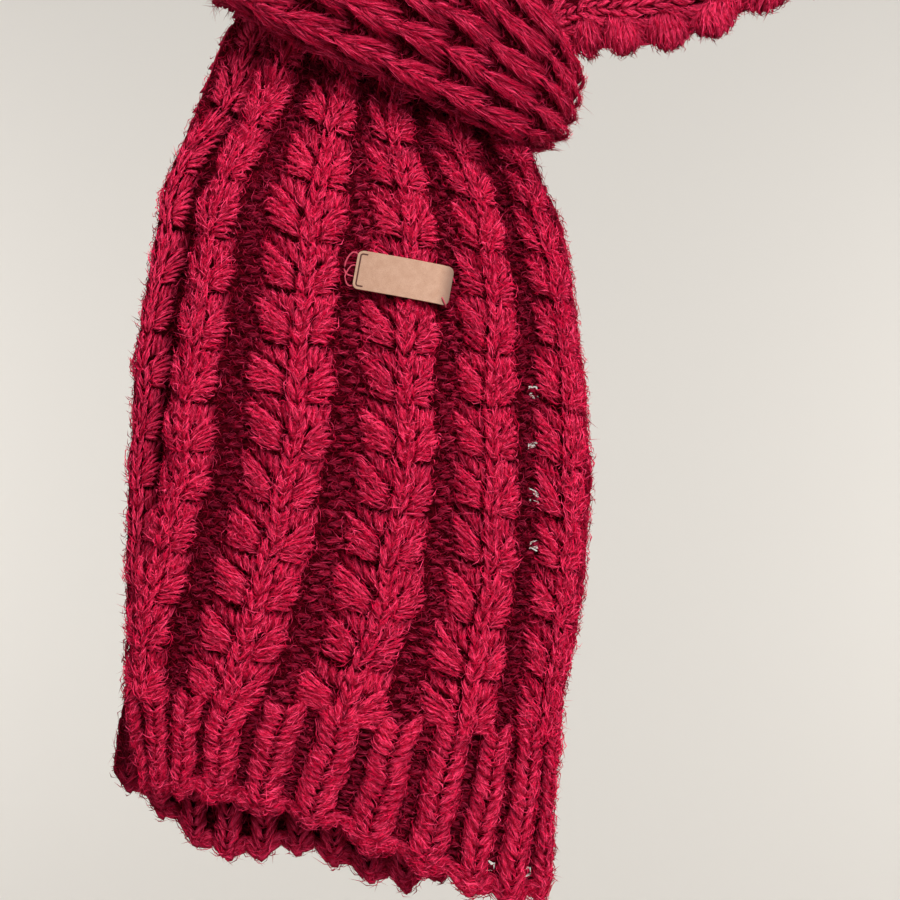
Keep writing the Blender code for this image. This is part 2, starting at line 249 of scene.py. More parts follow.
def outwards(surface: Callable, along: np.ndarray, across: np.ndarray) -> np.ndarray:
    """The outward direction at each point of a surface.

    Args:
        surface: Gives a grid of points for places along and across.
        along: Places along, in mm.
        across: Shares of the width.

    Returns:
        A grid of unit vectors.
    """
    on = surface(along + ON_STEP, across) - surface(along - ON_STEP, across)
    down = surface(along, across + DOWN_STEP) - surface(along, across - DOWN_STEP)
    return unit(np.cross(on, down))


def inset(rows: Sequence[Row], depth: float) -> tuple[Row, ...]:
    """The rows of the strand that lies under another one.

    Args:
        rows: The rows of the outer strand.
        depth: How far in towards the neck the inner one lies, in mm.

    Returns:
        The same rows, moved in.
    """
    ends = np.array([(row.first, row.last) for row in rows], float)
    on = np.gradient(ends, axis=0).mean(axis=1)
    out = unit(np.cross(on, ends[:, 1] - ends[:, 0]))
    ends -= depth * out[:, None, :]
    return tuple(
        Row(row.name, tuple(pair[0]), tuple(pair[1]), row.bow, row.fold, row.ears)
        for row, pair in zip(rows, ends)
    )


class Strand:
    """A strip of cloth through rows of knitting, from the loop to its cast-on edge."""

    def __init__(self, rows: Sequence[Row], hem_drop: Sequence[float]) -> None:
        """Measures the strand down the middle of its rows.

        Args:
            rows: The rows, in order.
            hem_drop: How far the cast-on edge hangs at the selvedges and the ears, in mm.
        """
        self.rows = rows
        self.hem_drop = hem_drop
        middles = np.array([np.add(row.first, row.last) / 2 for row in rows])
        steps = np.linalg.norm(np.diff(middles, axis=0), axis=1)
        self.places = np.concatenate([[0], np.cumsum(steps)])
        self.length = float(self.places[-1])

    def place(self, name: str) -> float:
        """How far along the strand the named row lies."""
        return float(self.places[[row.name for row in self.rows].index(name)])

    def width(self, along: np.ndarray) -> np.ndarray:
        """The straight width of the cloth at places along."""
        spans = [np.linalg.norm(np.subtract(row.last, row.first)) for row in self.rows]
        return smooth(self.places, spans, along)

    def straight_rows(self, along: np.ndarray, across: np.ndarray) -> np.ndarray:
        """Points of straight rows from selvedge to selvedge.

        Args:
            along: Places along, in mm.
            across: Shares of the width.

        Returns:
            A grid of points in mm, a row for each place along.
        """
        first = smooth(self.places, [row.first for row in self.rows], along)
        last = smooth(self.places, [row.last for row in self.rows], along)
        shares = smooth(self.places, [(0, *row.ears, 1) for row in self.rows], along)
        share = smooth((0, *EVEN, 1), shares.T, across).T
        grid = first[:, None] + (last - first)[:, None] * share[:, :, None]
        hem = ramp(self.length - HEM_LENGTH, self.length, along)
        drop = smooth((0, *EVEN, 1), self.hem_drop, across)
        grid[:, :, 2] -= hem[:, None] * drop[None, :]
        return grid

    def bowed_rows(self, along: np.ndarray, across: np.ndarray) -> np.ndarray:
        """Points of the rows, each bowed outwards between its selvedges.

        Args:
            along: Places along, in mm.
            across: Shares of the width.

        Returns:
            A grid of points in mm.
        """
        bow = smooth(self.places, [row.bow for row in self.rows], along)
        lift = bow[:, None] * (4 * across * (1 - across))[None, :]
        out = outwards(self.straight_rows, along, across)
        return self.straight_rows(along, across) + out * lift[:, :, None]

    def plain_side(self, along: np.ndarray, across: np.ndarray) -> tuple[np.ndarray, np.ndarray]:
        """Points of the side next to the neck, and the outward direction at each.

        Args:
            along: Places along, in mm.
            across: Shares of the width.

        Returns:
            A grid of points in mm and a grid of unit vectors.
        """
        fold = smooth(self.places, [row.fold for row in self.rows], along)
        wave = 0.5 - 0.5 * np.cos(2 * math.pi * EARS * across)
        lift = fold[:, None] * wave[None, :]
        out = outwards(self.bowed_rows, along, across)
        return self.bowed_rows(along, across) + out * lift[:, :, None], out


@dataclass(frozen=True)
class Wander:
    """A slow, uneven drift of the stitches: its size in mm and its turns in a metre and a width."""

    size: float
    along: float
    across: float
    start: float

    def at(self, along: np.ndarray, share: np.ndarray) -> np.ndarray:
        """The drift at places along and across.

        Args:
            along: Places along, in mm.
            share: Shares of the width.

        Returns:
            The drift in mm.
        """
        turn = 2 * math.pi * (along * MM * self.along + share * self.across + self.start)
        return self.size * np.sin(turn + 1.3 * np.sin(turn * 0.61))


SIDEWAYS = (Wander(0.7, 17.0, 1.4, 0.1), Wander(0.4, 39.0, -3.1, 0.6))
ENDWAYS = (Wander(0.9, 9.0, 2.3, 0.3), Wander(0.5, 23.0, 4.7, 0.9))
# Soft troughs and swells, as a share of the height.
SWELLS = (Wander(0.09, 13.0, 1.9, 0.2), Wander(0.06, 31.0, 3.7, 0.7))


class Drape:
    """Lays flat knitting on a stretch of a strand."""

    STEP = 1.0
    MARGIN = 8.0
    SIDE_MARGIN = 0.14
    COLUMNS = 129
    THINNEST = 0.62
    # How near to its row the lobes swell, and how near the lower ribs roll back and how far.
    LOBE_REACH = (4.0, 16.0)
    ROLL_REACH = (6.0, 24.0)
    ROLL = 8.0
    # The scallops of a cast-on edge: how far up they start, and their size along and out.
    SCALLOP_REACH = 14.0
    SCALLOP = 1.5
    SCALLOP_OUT = 0.9

    def __init__(
        self,
        strand: Strand,
        start: float,
        end: float,
        thin_below: float = 0.0,
        hem: bool = False,
        lobes: str = "",
    ) -> None:
        """Works out a fine grid of the stretch's form.

        Args:
            strand: The strand.
            start: Where the stretch starts, in mm along the strand.
            end: Where it ends.
            thin_below: The width, in mm, under which the stitches are flattened in step.
            hem: Whether it ends in a hem.
            lobes: The row at which each rib swells to a lobe.
        """
        self.strand = strand
        self.hem = hem
        self.lobes = lobes
        self.low = start - self.MARGIN
        count = int((end - start + 2 * self.MARGIN) / self.STEP) + 2
        self.along = self.low + self.STEP * np.arange(count)
        self.shares = np.linspace(-self.SIDE_MARGIN, 1 + self.SIDE_MARGIN, self.COLUMNS)
        self.base, self.out = strand.plain_side(self.along, self.shares)
        widths = strand.width(self.along)
        thin = np.clip(widths / (thin_below or 1.0), self.THINNEST, 1.0)
        self.thin = thin if thin_below else np.ones(count)

    def lay(self, flat: np.ndarray, width: float) -> np.ndarray:
        """Where points of the flat knitting lie on the strand.

        Args:
            flat: Points x, y, z in mm.
            width: The width in mm that the knitting was made at.

        Returns:
            Points in metres.
        """
        share = flat[:, 0] / width
        along = -flat[:, 1]
        share = share + sum(wander.at(along, share) for wander in SIDEWAYS) / CUT_WIDTH
        along = along + sum(wander.at(along, share) for wander in ENDWAYS)
        height = flat[:, 2] * (1 + sum(wander.at(along, share) for wander in SWELLS))
        if self.lobes:
            ribs = np.cos(2 * math.pi * (EARS * flat[:, 0] / width - 0.5))
            off = np.abs(along - self.strand.place(self.lobes))
            near = 1 - ramp(*self.LOBE_REACH, off)
            swell = 0.6 + 1.9 * ribs - 3.4 * ramp(0.78, 1.0, share)
            height = height + near * swell * np.clip(flat[:, 2] / 4, 0, 1)
            height = height - self.ROLL * (1 - ramp(*self.ROLL_REACH, off)) * ramp(0.72, 1.0, share)
        if self.hem:
            near = ramp(self.strand.length - self.SCALLOP_REACH, self.strand.length, along)
            wave = -np.cos(2 * math.pi * HEM_RIBS * flat[:, 0] / width)
            along = along + near * self.SCALLOP * wave
            height = height + near * self.SCALLOP_OUT * wave
        row = np.clip((along - self.low) / self.STEP, 0, len(self.along) - 1.001)
        gap = self.shares[1] - self.shares[0]
        column = np.clip((share - self.shares[0]) / gap, 0, self.COLUMNS - 1.001)
        r, c = row.astype(int), column.astype(int)
        fr, fc = (row - r)[:, None], (column - c)[:, None]

        def read(grid: np.ndarray) -> np.ndarray:
            """The grid's value at each point."""
            top = grid[r, c] * (1 - fc) + grid[r, c + 1] * fc
            low = grid[r + 1, c] * (1 - fc) + grid[r + 1, c + 1] * fc
            return top * (1 - fr) + low * fr

        height = height * (self.thin[r] * (1 - fr[:, 0]) + self.thin[r + 1] * fr[:, 0])
        return (read(self.base) + unit(read(self.out)) * height[:, None]) * MM


# --- Yarn and stitches ---


class Skein:
    """Yarn wound into one mesh, with the direction it runs in and its place round and along."""

    PURL = 1.5

    def __init__(self, sides: int, rng: np.random.Generator) -> None:
        """Starts an empty skein.

        Args:
            sides: How many sides the yarn has.
            rng: Gives each strand its own place in the pattern of fibres.
        """
        self.sides = sides
        self.rng = rng
        self.points: list[np.ndarray] = []
        self.runs: list[np.ndarray] = []
        self.faces: list[tuple[int, ...]] = []
        self.corners: list[tuple[float, float]] = []
        self.count = 0

    def wind(self, path: np.ndarray, thickness: np.ndarray | float) -> None:
        """Adds a strand along a path, pointed at both ends.

        Args:
            path: Points in mm, the first and the last being the strand's tips.
            thickness: The strand's thickness in mm, the same all along or one for each point
                between the tips.
        """
        run = unit(np.gradient(path, axis=0))
        side = unit(np.cross(run, (0.0, 0.0, 1.0)))
        lift = np.cross(side, run)
        inner = np.arange(1, len(path) - 1)
        radius = np.broadcast_to(np.asarray(thickness, float) / 2, inner.shape)
        turn = -math.pi / 2 + 2 * math.pi * np.arange(self.sides) / self.sides
        around = np.cos(turn)[None, :, None] * side[inner][:, None]
        around = around + np.sin(turn)[None, :, None] * lift[inner][:, None]
        rings = path[inner][:, None] + radius[:, None, None] * around
        lengths = np.concatenate([[0], np.cumsum(np.linalg.norm(np.diff(path, axis=0), axis=1))])
        offset = self.rng.uniform(0, 90)
        girth = 2 * math.pi * float(radius.mean()) / self.sides
        base, n = self.count, self.sides
        tip = base + 1 + len(inner) * n
        self.points += [path[:1], rings.reshape(-1, 3), path[-1:]]
        self.runs += [run[:1], np.repeat(run[inner], n, axis=0), run[-1:]]
        self.count = tip + 1

        def place(ring: int, k: int) -> int:
            """The number of a ring's point."""
            return base + 1 + ring * n + k % n

        for k in range(n):
            near, far = k * girth, (k + 1) * girth
            starts = (offset, offset + lengths[1])
            self.faces.append((base, place(0, k), place(0, k + 1)))
            self.corners += [((near + far) / 2, starts[0]), (near, starts[1]), (far, starts[1])]
            for ring in range(len(inner) - 1):
                here, there = offset + lengths[ring + 1], offset + lengths[ring + 2]
                face = (place(ring, k), place(ring + 1, k), place(ring + 1, k + 1), place(ring, k + 1))
                self.faces.append(face)
                self.corners += [(near, here), (near, there), (far, there), (far, here)]
            last = len(inner) - 1
            ends = (offset + lengths[-2], offset + lengths[-1])
            self.faces.append((tip, place(last, k + 1), place(last, k)))
            self.corners += [((near + far) / 2, ends[1]), (far, ends[0]), (near, ends[0])]

    def curve(self, keys: Sequence[Point], count: int, thickness: np.ndarray | float) -> None:
        """Adds a strand along the smooth path of this many points through its key points."""
        self.wind(smooth(np.linspace(0, 1, len(keys)), keys, np.linspace(0, 1, count)), thickness)

    def purl(self, x: float, y: float, z: float, width: float, out: float) -> None:
        """Adds a purl bump, a short arc across the strip.

        Args:
            x: The middle of the bump across.
            y: Its middle along.
            z: The height of its ends.
            width: Its width.
            out: How far its middle stands out.
        """
        shake = self.rng.normal(0, 0.14, 3)
        half = width / 2
        keys = (
            (x - half, y - 0.5, z),
            (x - half * 0.45, y + 0.35 + shake[0], z + out * (0.8 + shake[1])),
            (x + half * 0.45, y + 0.35 + shake[2], z + out * (0.8 + shake[1])),
            (x + half, y - 0.5, z),
        )
        self.wind(np.array(keys), self.PURL)

    def mesh(self, name: str) -> Mesh:
        """The skein as a mesh in mm.

        Args:
            name: The mesh's name.

        Returns:
            The mesh, with the attribute run and a UV map of places round and along in mm.
        """
        mesh = bpy.data.meshes.new(name)
        mesh.from_pydata(np.concatenate(self.points).tolist(), [], self.faces)
        mesh.shade_smooth()
        write(mesh, "run", np.concatenate(self.runs))
        uv = mesh.uv_layers.new(name="yarn")
        uv.data.foreach_set("uv", np.array(self.corners, np.float32).ravel())
        return mesh


def float_taper(t: np.ndarray) -> np.ndarray:
    """The share of a float's thickness from its free end to the spine."""
    return 0.85 + 0.25 * np.sin(math.pi * t) - 0.25 * t


class Cell:
    """One repeat of a pattern, knitted flat in mm."""

    SIDES: ClassVar[int] = 4

    def knit(self, seed: int) -> Mesh:
        """One variant of the repeat.

        Args:
            seed: Makes the variant.

        Returns:
            The mesh in mm.
        """
        skein = Skein(self.SIDES, np.random.default_rng(seed))
        self.fill(skein)
        return skein.mesh(f"stitch_{seed}")

    def fill(self, skein: Skein) -> None:
        """Winds the repeat's strands into the skein."""
        raise NotImplementedError


@dataclass(frozen=True)
class Wing:
    """A fan of floats beside an ear's spine, in mm from the spine and from the repeat's top."""

    spine: float
    foot: float
    tips: tuple[float, float]
    top: float
    bottom: float
    floats: int
    crest: float
    outer_crest: float
    thickness: float
    spread: float
    roundness: float

    def fill(self, skein: Skein, count: int) -> None:
        """Winds the wing's floats.

        Args:
            skein: Takes the floats.
            count: How many points each float's path has.
        """
        for k in range(self.floats):
            f = k / (self.floats - 1)
            middling = math.sin(math.pi * f)
            shake = skein.rng.normal(0, 0.25, 5)
            tip = self.tips[0] + (self.tips[1] - self.tips[0]) * f
            tip = tip * (1 - self.roundness * (1 - middling)) + shake[0]
            outer = np.array([tip, self.top + (self.bottom - self.top) * f + shake[1], 0])
            inner = np.array([self.spine, self.foot + self.spread * (1 - f) + shake[2] * 0.5, 0])
            lift = 0.4 * middling - 0.3 * f + shake[3]
            low, high = self.outer_crest + lift, self.crest + lift
            t = np.linspace(0, 1, count)
            path = outer + (inner - outer) * t[:, None]
            path[:, 1] += (0.2 + 0.7 * (1 - f)) * np.sin(math.pi * t)
            path[:, 2] = smooth((0, 0.12, 0.55, 0.88, 1), (low - 1.6, low, high, high - 0.5, 3.2), t)
            skein.wind(path, self.thickness * (1 + shake[4] * UNEVEN) * float_taper(t[1:-1]))


@dataclass(frozen=True)
class EarCell(Cell):
    """One repeat of a wheat ear: a plaited spine, its two wings and the loops between them."""

    wings: tuple[Wing, ...]
    spine_width: float
    spine_top: float
    leg: float
    loops: tuple[tuple[float, float, float], ...]
    purls: tuple[float, ...]
    purl_width: float
    points: int = 5
    plies: int = 2

    LOOP: ClassVar[float] = 1.6
    CORE: ClassVar[float] = 2.0

    def fill(self, skein: Skein) -> None:
        """Winds the ear, with its top at y 0 and its spine at x 0.

        Args:
            skein: Takes the strands.
        """
        for wing in self.wings:
            wing.fill(skein, self.points)
        for x, lean, top in self.loops:
            shake = skein.rng.normal(0, 0.3, 3)
            middle = -3.6 + 0.55 * max(0.0, -3.6 - x)
            ends = (middle + 4.0 + shake[0], middle - 4.2)
            keys = (
                (x + lean, ends[0], top - 1.4),
                (x + shake[1], middle, top),
                (x - lean, ends[1], top - 1.2),
            )
            skein.curve(keys, 5, self.LOOP)
        core = (
            (0.0, 0.4, 3.0),
            (0.0, -PUFF_PITCH / 2, self.spine_top - 1.4),
            (0.0, -PUFF_PITCH - 0.4, 3.0),
        )
        skein.curve(core, 5, self.CORE)
        for row in range(ROWS_A_PUFF):
            self.spine_stitch(skein, -(row + 0.5) * STITCH_ROW)
        for column, x in enumerate(self.purls):
            for bump in range(2 * ROWS_A_PUFF):
                y = -(bump + 0.5) * STITCH_ROW / 2
                shift = self.purl_width * ZIGZAG * (-1) ** (bump + column)
                skein.purl(x + shift, y, CLOTH_TOP - 0.1, self.purl_width, 1.0)

    def spine_stitch(self, skein: Skein, y: float) -> None:
        """Winds the two legs of a stitch of the spine.

        Args:
            skein: Takes the legs.
            y: The middle of the stitch.
        """
        half = self.spine_width / 2
        for hand in (-1, 1):
            for ply in range(self.plies):
                shake = skein.rng.normal(0, 0.16, 4)
                rise = y + (ply - (self.plies - 1) / 2) * self.leg * 1.2
                keys = (
                    (hand * half * 0.85, rise + 3.6, self.spine_top - 1.7),
                    (hand * half * 0.95, rise + 1.6 + shake[0], self.spine_top - 0.3 + shake[1]),
                    (hand * half * 0.45, rise - 0.9, self.spine_top + shake[2]),
                    (-hand * half * 0.15, rise - 3.2, self.spine_top - 1.2),
                )
                skein.curve(keys, 5, self.leg * (1 + UNEVEN * shake[3]) * LEG_TAPER)


@dataclass(frozen=True)
class ReverseCell(Cell):
    """One repeat of the wrong side: a knit column behind each valley, purl bumps behind the ear."""

    pitch: float
    purl_columns: int
    knit_width: float
    purl: float = 1.9
    leg: float = 2.1

    def fill(self, skein: Skein) -> None:
        """Winds the bumps and the legs, with their top at y 0 and their middle at x 0.

        Args:
            skein: Takes the strands.
        """
        stitch = (self.pitch - self.knit_width) / self.purl_columns
        side = stitch * 0.62
        for column in range(self.purl_columns):
            for bump in range(2 * ROWS_A_PUFF):
                x = -self.pitch / 2 + (column + 0.5 + ZIGZAG * (-1) ** (bump + column)) * stitch
                y = -(bump + 0.5) * STITCH_ROW / 2
                out = 0.3 + skein.rng.normal(0, 0.08)
                keys = ((x - side, y - 0.5, 1.0), (x, y + 0.3, out), (x + side, y - 0.5, 1.0))
                skein.wind(np.array(keys), self.purl)
        middle = self.pitch / 2 - self.knit_width / 2
        for row in range(ROWS_A_PUFF):
            y = -(row + 0.5) * STITCH_ROW
            for hand in (-0.5, 0.5):
                reach = hand * self.knit_width
                out = 0.1 + skein.rng.normal(0, 0.1)
                keys = (
                    (middle + reach * 0.85, y + 3.2, 0.9),
                    (middle + reach * 0.6, y, out),
                    (middle + reach * 0.1, y - 3.2, 0.9),
                )
                skein.wind(np.array(keys), self.leg)


@dataclass(frozen=True)
class HemCell(Cell):
    """One stitch row of one rib of the hem, with the purl bumps of the valley beside it."""

    pitch: float = CUT_WIDTH / HEM_RIBS
    row: float = HEM_LENGTH / HEM_ROWS
    width: float = 10.4
    top: float = 5.6
    leg: float = 2.3

    def fill(self, skein: Skein) -> None:
        """Winds the stitch and its bumps, with its middle at the origin.

        Args:
            skein: Takes the strands.
        """
        for hand in (-self.width / 2, self.width / 2):
            for rise in (-0.5, 0.5):
                shake = skein.rng.normal(0, 0.3, 4)
                y = rise * self.row / 2
                keys = (
                    (hand, y + 2.6, self.top - 3.0),
                    (hand * 0.84, y + 1.3 + shake[0], self.top - 1.3 + shake[1]),
                    (hand * 0.42, y - 0.6, self.top + shake[3]),
                    (-hand * 0.1, y - 2.4, self.top - 0.1),
                )
                skein.curve(keys, 5, self.leg * (1 + UNEVEN * shake[2]) * LEG_TAPER)
        for bump in (-0.5, 0.5):
            skein.purl(self.pitch / 2, bump * self.row / 2, CLOTH_TOP, 4.0, 0.8)


@dataclass(frozen=True)
class PuffCell(Cell):
    """A round puff of floats that laps over a selvedge."""

    floats: int = 8
    thickness: float = 2.6

    def fill(self, skein: Skein) -> None:
        """Winds the puff, with its top at y 0 and the selvedge at x 0.

        Args:
            skein: Takes the floats.
        """
        for k in range(self.floats):
            f = k / (self.floats - 1)
            shake = skein.rng.normal(0, 0.25, 3)
            out = math.sin(math.pi * (0.06 + 0.88 * f)) ** 0.6 + shake[0] * 0.15
            y = -0.5 - (PUFF_PITCH - 1.0) * f
            foot = y * 0.4 - 0.3 * PUFF_PITCH
            keys = (
                (-6.0, foot, 4.4),
                (-2.6, (foot + y) / 2, 5.0 + shake[1]),
                (3.8 * out - 1.2, y, 1.4 + 4.4 * out),
                (7.8 * out - 2.8, y * 0.97 - 0.25, 1.2),
                (-1.4, y * 0.8 - 1.6, -1.8),
            )
            skein.curve(keys, 6, self.thickness * (1 + 0.4 * shake[2]))


@dataclass(frozen=True)
class EdgeCell(Cell):
    """One link of a selvedge or of the cast-on edge: two strands that lap each other."""

    step: float
    thickness: float
    height: float
    across: bool = False

    SIDES: ClassVar[int] = 6

    def fill(self, skein: Skein) -> None:
        """Winds the link, with its middle at the origin.

        Args:
            skein: Takes its strands.
        """
        for hand in (-1, 1):
            shake = skein.rng.normal(0, 0.12, 2)
            reach = self.step * 0.72
            keys = (
                (hand * 0.9, reach, self.height - 0.5),
                (hand * (1.0 + shake[0]), 0.0, self.height + 0.35),
                (-hand * 0.3, -reach, self.height - 0.5),
            )
            turned = [(y, x, z) for x, y, z in keys]
            skein.curve(turned if self.across else keys, 5, self.thickness * (1 + shake[1]))


def merged(name: str, meshes: Sequence[Mesh]) -> Mesh:
    """Several meshes as one, with their attributes.

    Args:
        name: The new mesh's name.
        meshes: The meshes, of one material, which are then removed.

    Returns:
        The merged mesh.
    """
    form = bmesh.new()
    for mesh in meshes:
        form.from_mesh(mesh)
    made = bpy.data.meshes.new(name)
    form.to_mesh(made)
    form.free()
    for material in meshes[0].materials:
        made.materials.append(material)
    made.shade_smooth()
    for mesh in meshes:
        bpy.data.meshes.remove(mesh)
    return made


OPEN_EAR = EarCell(
    wings=(
        Wing(-2.3, -14.8, (-16.2, -13.6), 0.6, -10.9, 7, 5.4, 3.7, 1.12, 4.2, 0.0),
        Wing(1.9, -15.0, (11.6, 11.2), -4.2, -15.2, 7, 5.4, 4.9, 1.25, 3.4, 0.18),
    ),
    spine_width=4.6,
    spine_top=5.9,
    leg=1.15,
    loops=(
        *((-3.6, -0.8, 4.1), (-5.9, -1.6, 3.8), (-8.2, -2.0, 3.4), (-10.8, -2.4, 2.9)),
        *((3.4, 0.4, 4.6), (5.0, 0.6, 4.4), (6.7, 0.7, 4.1), (8.4, 0.9, 3.6)),
    ),
    purls=(-14.6, 13.6),
    purl_width=4.4,
)
BUNCHED_EAR = EarCell(
    wings=(
        Wing(-1.2, -15.4, (-6.4, -5.0), 3.0, -6.5, 5, 5.0, 2.6, 1.5, 2.8, 0.0),
        Wing(1.1, -15.4, (5.8, 5.2), 1.5, -9.0, 5, 5.1, 3.2, 1.5, 2.8, 0.1),
    ),
    spine_width=3.2,
    spine_top=5.8,
    leg=1.1,
    loops=((-5.0, -0.5, 3.3), (-2.8, -0.3, 3.8), (2.6, 0.3, 4.3), (4.2, 0.5, 4.0), (6.0, 0.6, 3.5)),
    purls=(6.9,),
    purl_width=2.6,
)
PLAIN_EAR = EarCell(
    wings=(
        Wing(-1.5, -14.2, (-6.8, -6.0), -2.2, -9.6, 3, 4.7, 3.6, 2.3, 2.8, 0.0),
        Wing(1.3, -14.2, (6.0, 6.0), -6.0, -14.0, 3, 4.9, 4.4, 2.4, 2.8, 0.1),
    ),
    spine_width=3.2,
    spine_top=5.8,
    leg=1.7,
    loops=((2.8, 0.3, 4.2),),
    purls=(6.8,),
    purl_width=2.8,
    points=4,
    plies=1,
)
HIDDEN_EAR = EarCell(
    wings=(
        Wing(-1.9, -14.7, (-14.0, -11.4), -0.8, -10.0, 3, 4.6, 3.4, 3.0, 3.4, 0.0),
        Wing(1.9, -14.8, (10.4, 10.4), -5.0, -14.6, 3, 4.8, 4.4, 3.2, 3.2, 0.1),
    ),
    spine_width=4.4,
    spine_top=5.7,
    leg=1.9,
    loops=(),
    purls=(14.2,),
    purl_width=4.2,
    points=4,
    plies=1,
)


# --- Node trees ---


def live(sockets: bpy.types.bpy_prop_collection, name: str) -> NodeSocket:
    """The socket of this name that the node has in use."""
    return next(socket for socket in sockets if socket.name == name and socket.enabled)


class Nodes:
    """A node tree in the making."""

    def __init__(self, tree: NodeTree) -> None:
        """Takes the tree that the nodes go into."""
        self.tree = tree

    def feed(self, socket: NodeSocket, value: object) -> None:
        """Sets an input.

        Args:
            socket: The input.
            value: A value, or a socket to join it to.
        """
        if isinstance(value, NodeSocket):
            self.tree.links.new(value, socket)
        else:
            socket.default_value = value

    def add(self, kind: str, inputs: Optional[dict] = None, **settings: object) -> Node:
        """A node with its settings and inputs.

        Args:
            kind: The node's type.
            inputs: A value or a socket for each input, by its name or its number.
            settings: The node's own properties.

        Returns:
            The node.
        """
        node = self.tree.nodes.new(kind)
        for name, value in settings.items():
            setattr(node, name, value)
        for key, value in (inputs or {}).items():
            self.feed(node.inputs[key] if isinstance(key, int) else live(node.inputs, key), value)
        return node

    def math(self, operation: str, *values: object) -> NodeSocket:
        """The result of a sum."""
        return self.add("ShaderNodeMath", dict(enumerate(values)), operation=operation).outputs[0]

    def vector(self, operation: str, *values: object) -> NodeSocket:
        """The result of a sum of vectors."""
        return self.add("ShaderNodeVectorMath", dict(enumerate(values)), operation=operation).outputs[0]

    def xyz(self, **values: object) -> NodeSocket:
        """A vector from its numbers X, Y and Z, which are 0 if left out."""
        return self.add("ShaderNodeCombineXYZ", values).outputs[0]


class ScatterTree(Nodes):
    """A Geometry Nodes tree that puts a random copy of one of a collection's shapes on points."""

    def __init__(self, name: str, **inputs: str) -> None:
        """Starts a tree with its group input and output.

        Args:
            name: The tree's name.
            inputs: The kind of each further input, by its name with _ for a space.
        """
        super().__init__(bpy.data.node_groups.new(name, "GeometryNodeTree"))
        face = self.tree.interface
        face.new_socket("Geometry", in_out="OUTPUT", socket_type="NodeSocketGeometry")
        common = {"Geometry": "Geometry", "Shapes": "Collection", "Last_shape": "Int", "Seed": "Int"}
        for key, kind in {**common, "Material": "Material", **inputs}.items():
            face.new_socket(key.replace("_", " "), in_out="INPUT", socket_type=f"NodeSocket{kind}")
        self.start = self.tree.nodes.new("NodeGroupInput").outputs
        self.end = self.tree.nodes.new("NodeGroupOutput").inputs

    def random(self, kind: str, low: object, high: object) -> NodeSocket:
        """A random value of this kind for each copy."""
        inputs = {"Min": low, "Max": high, "Seed": self.start["Seed"]}
        return live(self.add("FunctionNodeRandomValue", inputs, data_type=kind).outputs, "Value")

    def within(self, limit: NodeSocket) -> NodeSocket:
        """A random vector for each copy, at most this far either way."""
        back = self.add("ShaderNodeVectorMath", {0: limit, "Scale": -1.0}, operation="SCALE")
        return self.random("FLOAT_VECTOR", back.outputs[0], limit)

    def turn(self, angles: NodeSocket) -> NodeSocket:
        """The rotation of three angles."""
        return self.add("FunctionNodeEulerToRotation", {0: angles}).outputs[0]

    def finish(self, points: NodeSocket, turn: NodeSocket, size: NodeSocket) -> NodeTree:
        """Puts the copies on the points, notes a random dye on each and makes them real.

        Args:
            points: Where the copies go.
            turn: How each is turned.
            size: How each is scaled.

        Returns:
            The tree, which ends in Realize Instances and Set Material.
        """
        shapes = {"Collection": self.start["Shapes"], "Separate Children": True, "Reset Children": True}
        copies = {
            "Points": points,
            "Instance": self.add("GeometryNodeCollectionInfo", shapes).outputs[0],
            "Pick Instance": True,
            "Instance Index": self.random("INT", 0, self.start["Last shape"]),
            "Rotation": turn,
            "Scale": size,
        }
        made = self.add("GeometryNodeInstanceOnPoints", copies).outputs[0]
        dye = {"Geometry": made, "Name": "dye", "Value": self.random("FLOAT", 0.0, 1.0)}
        dyed = self.add("GeometryNodeStoreNamedAttribute", dye, data_type="FLOAT", domain="INSTANCE")
        made = self.add("GeometryNodeRealizeInstances", {"Geometry": dyed.outputs[0]}).outputs[0]
        dressed = {"Geometry": made, "Material": self.start["Material"]}
        self.feed(self.end[0], self.add("GeometryNodeSetMaterial", dressed).outputs[0])
        return self.tree


def knitting_tree() -> NodeTree:
    """A tree that repeats stitches in columns and rows.

    Returns:
        The tree.
    """
    made = ScatterTree(
        "repeat stitches", Columns="Int", Stitch_count="Int", First_stitch="Vector",
        Pitch="Vector", Shift="Float", Swell="Float", Lean="Float",
    )
    given = made.start
    index = made.add("GeometryNodeInputIndex").outputs[0]
    column = made.math("MODULO", index, given["Columns"])
    row = made.math("FLOOR", made.math("DIVIDE", index, given["Columns"]))
    place = made.vector("MULTIPLY_ADD", made.xyz(X=column, Y=row), given["Pitch"], given["First stitch"])
    drift = made.within(made.xyz(X=given["Shift"], Y=given["Shift"]))
    at = {"Count": given["Stitch count"], "Position": made.vector("ADD", place, drift)}
    points = made.add("GeometryNodePoints", at).outputs[0]
    lean = made.random("FLOAT", made.math("MULTIPLY", given["Lean"], -1.0), given["Lean"])
    least, most = (made.math(way, 1.0, given["Swell"]) for way in ("SUBTRACT", "ADD"))
    sizes = (made.xyz(X=scale, Y=1.0, Z=scale) for scale in (least, most))
    return made.finish(points, made.turn(made.xyz(Z=lean)), made.random("FLOAT_VECTOR", *sizes))


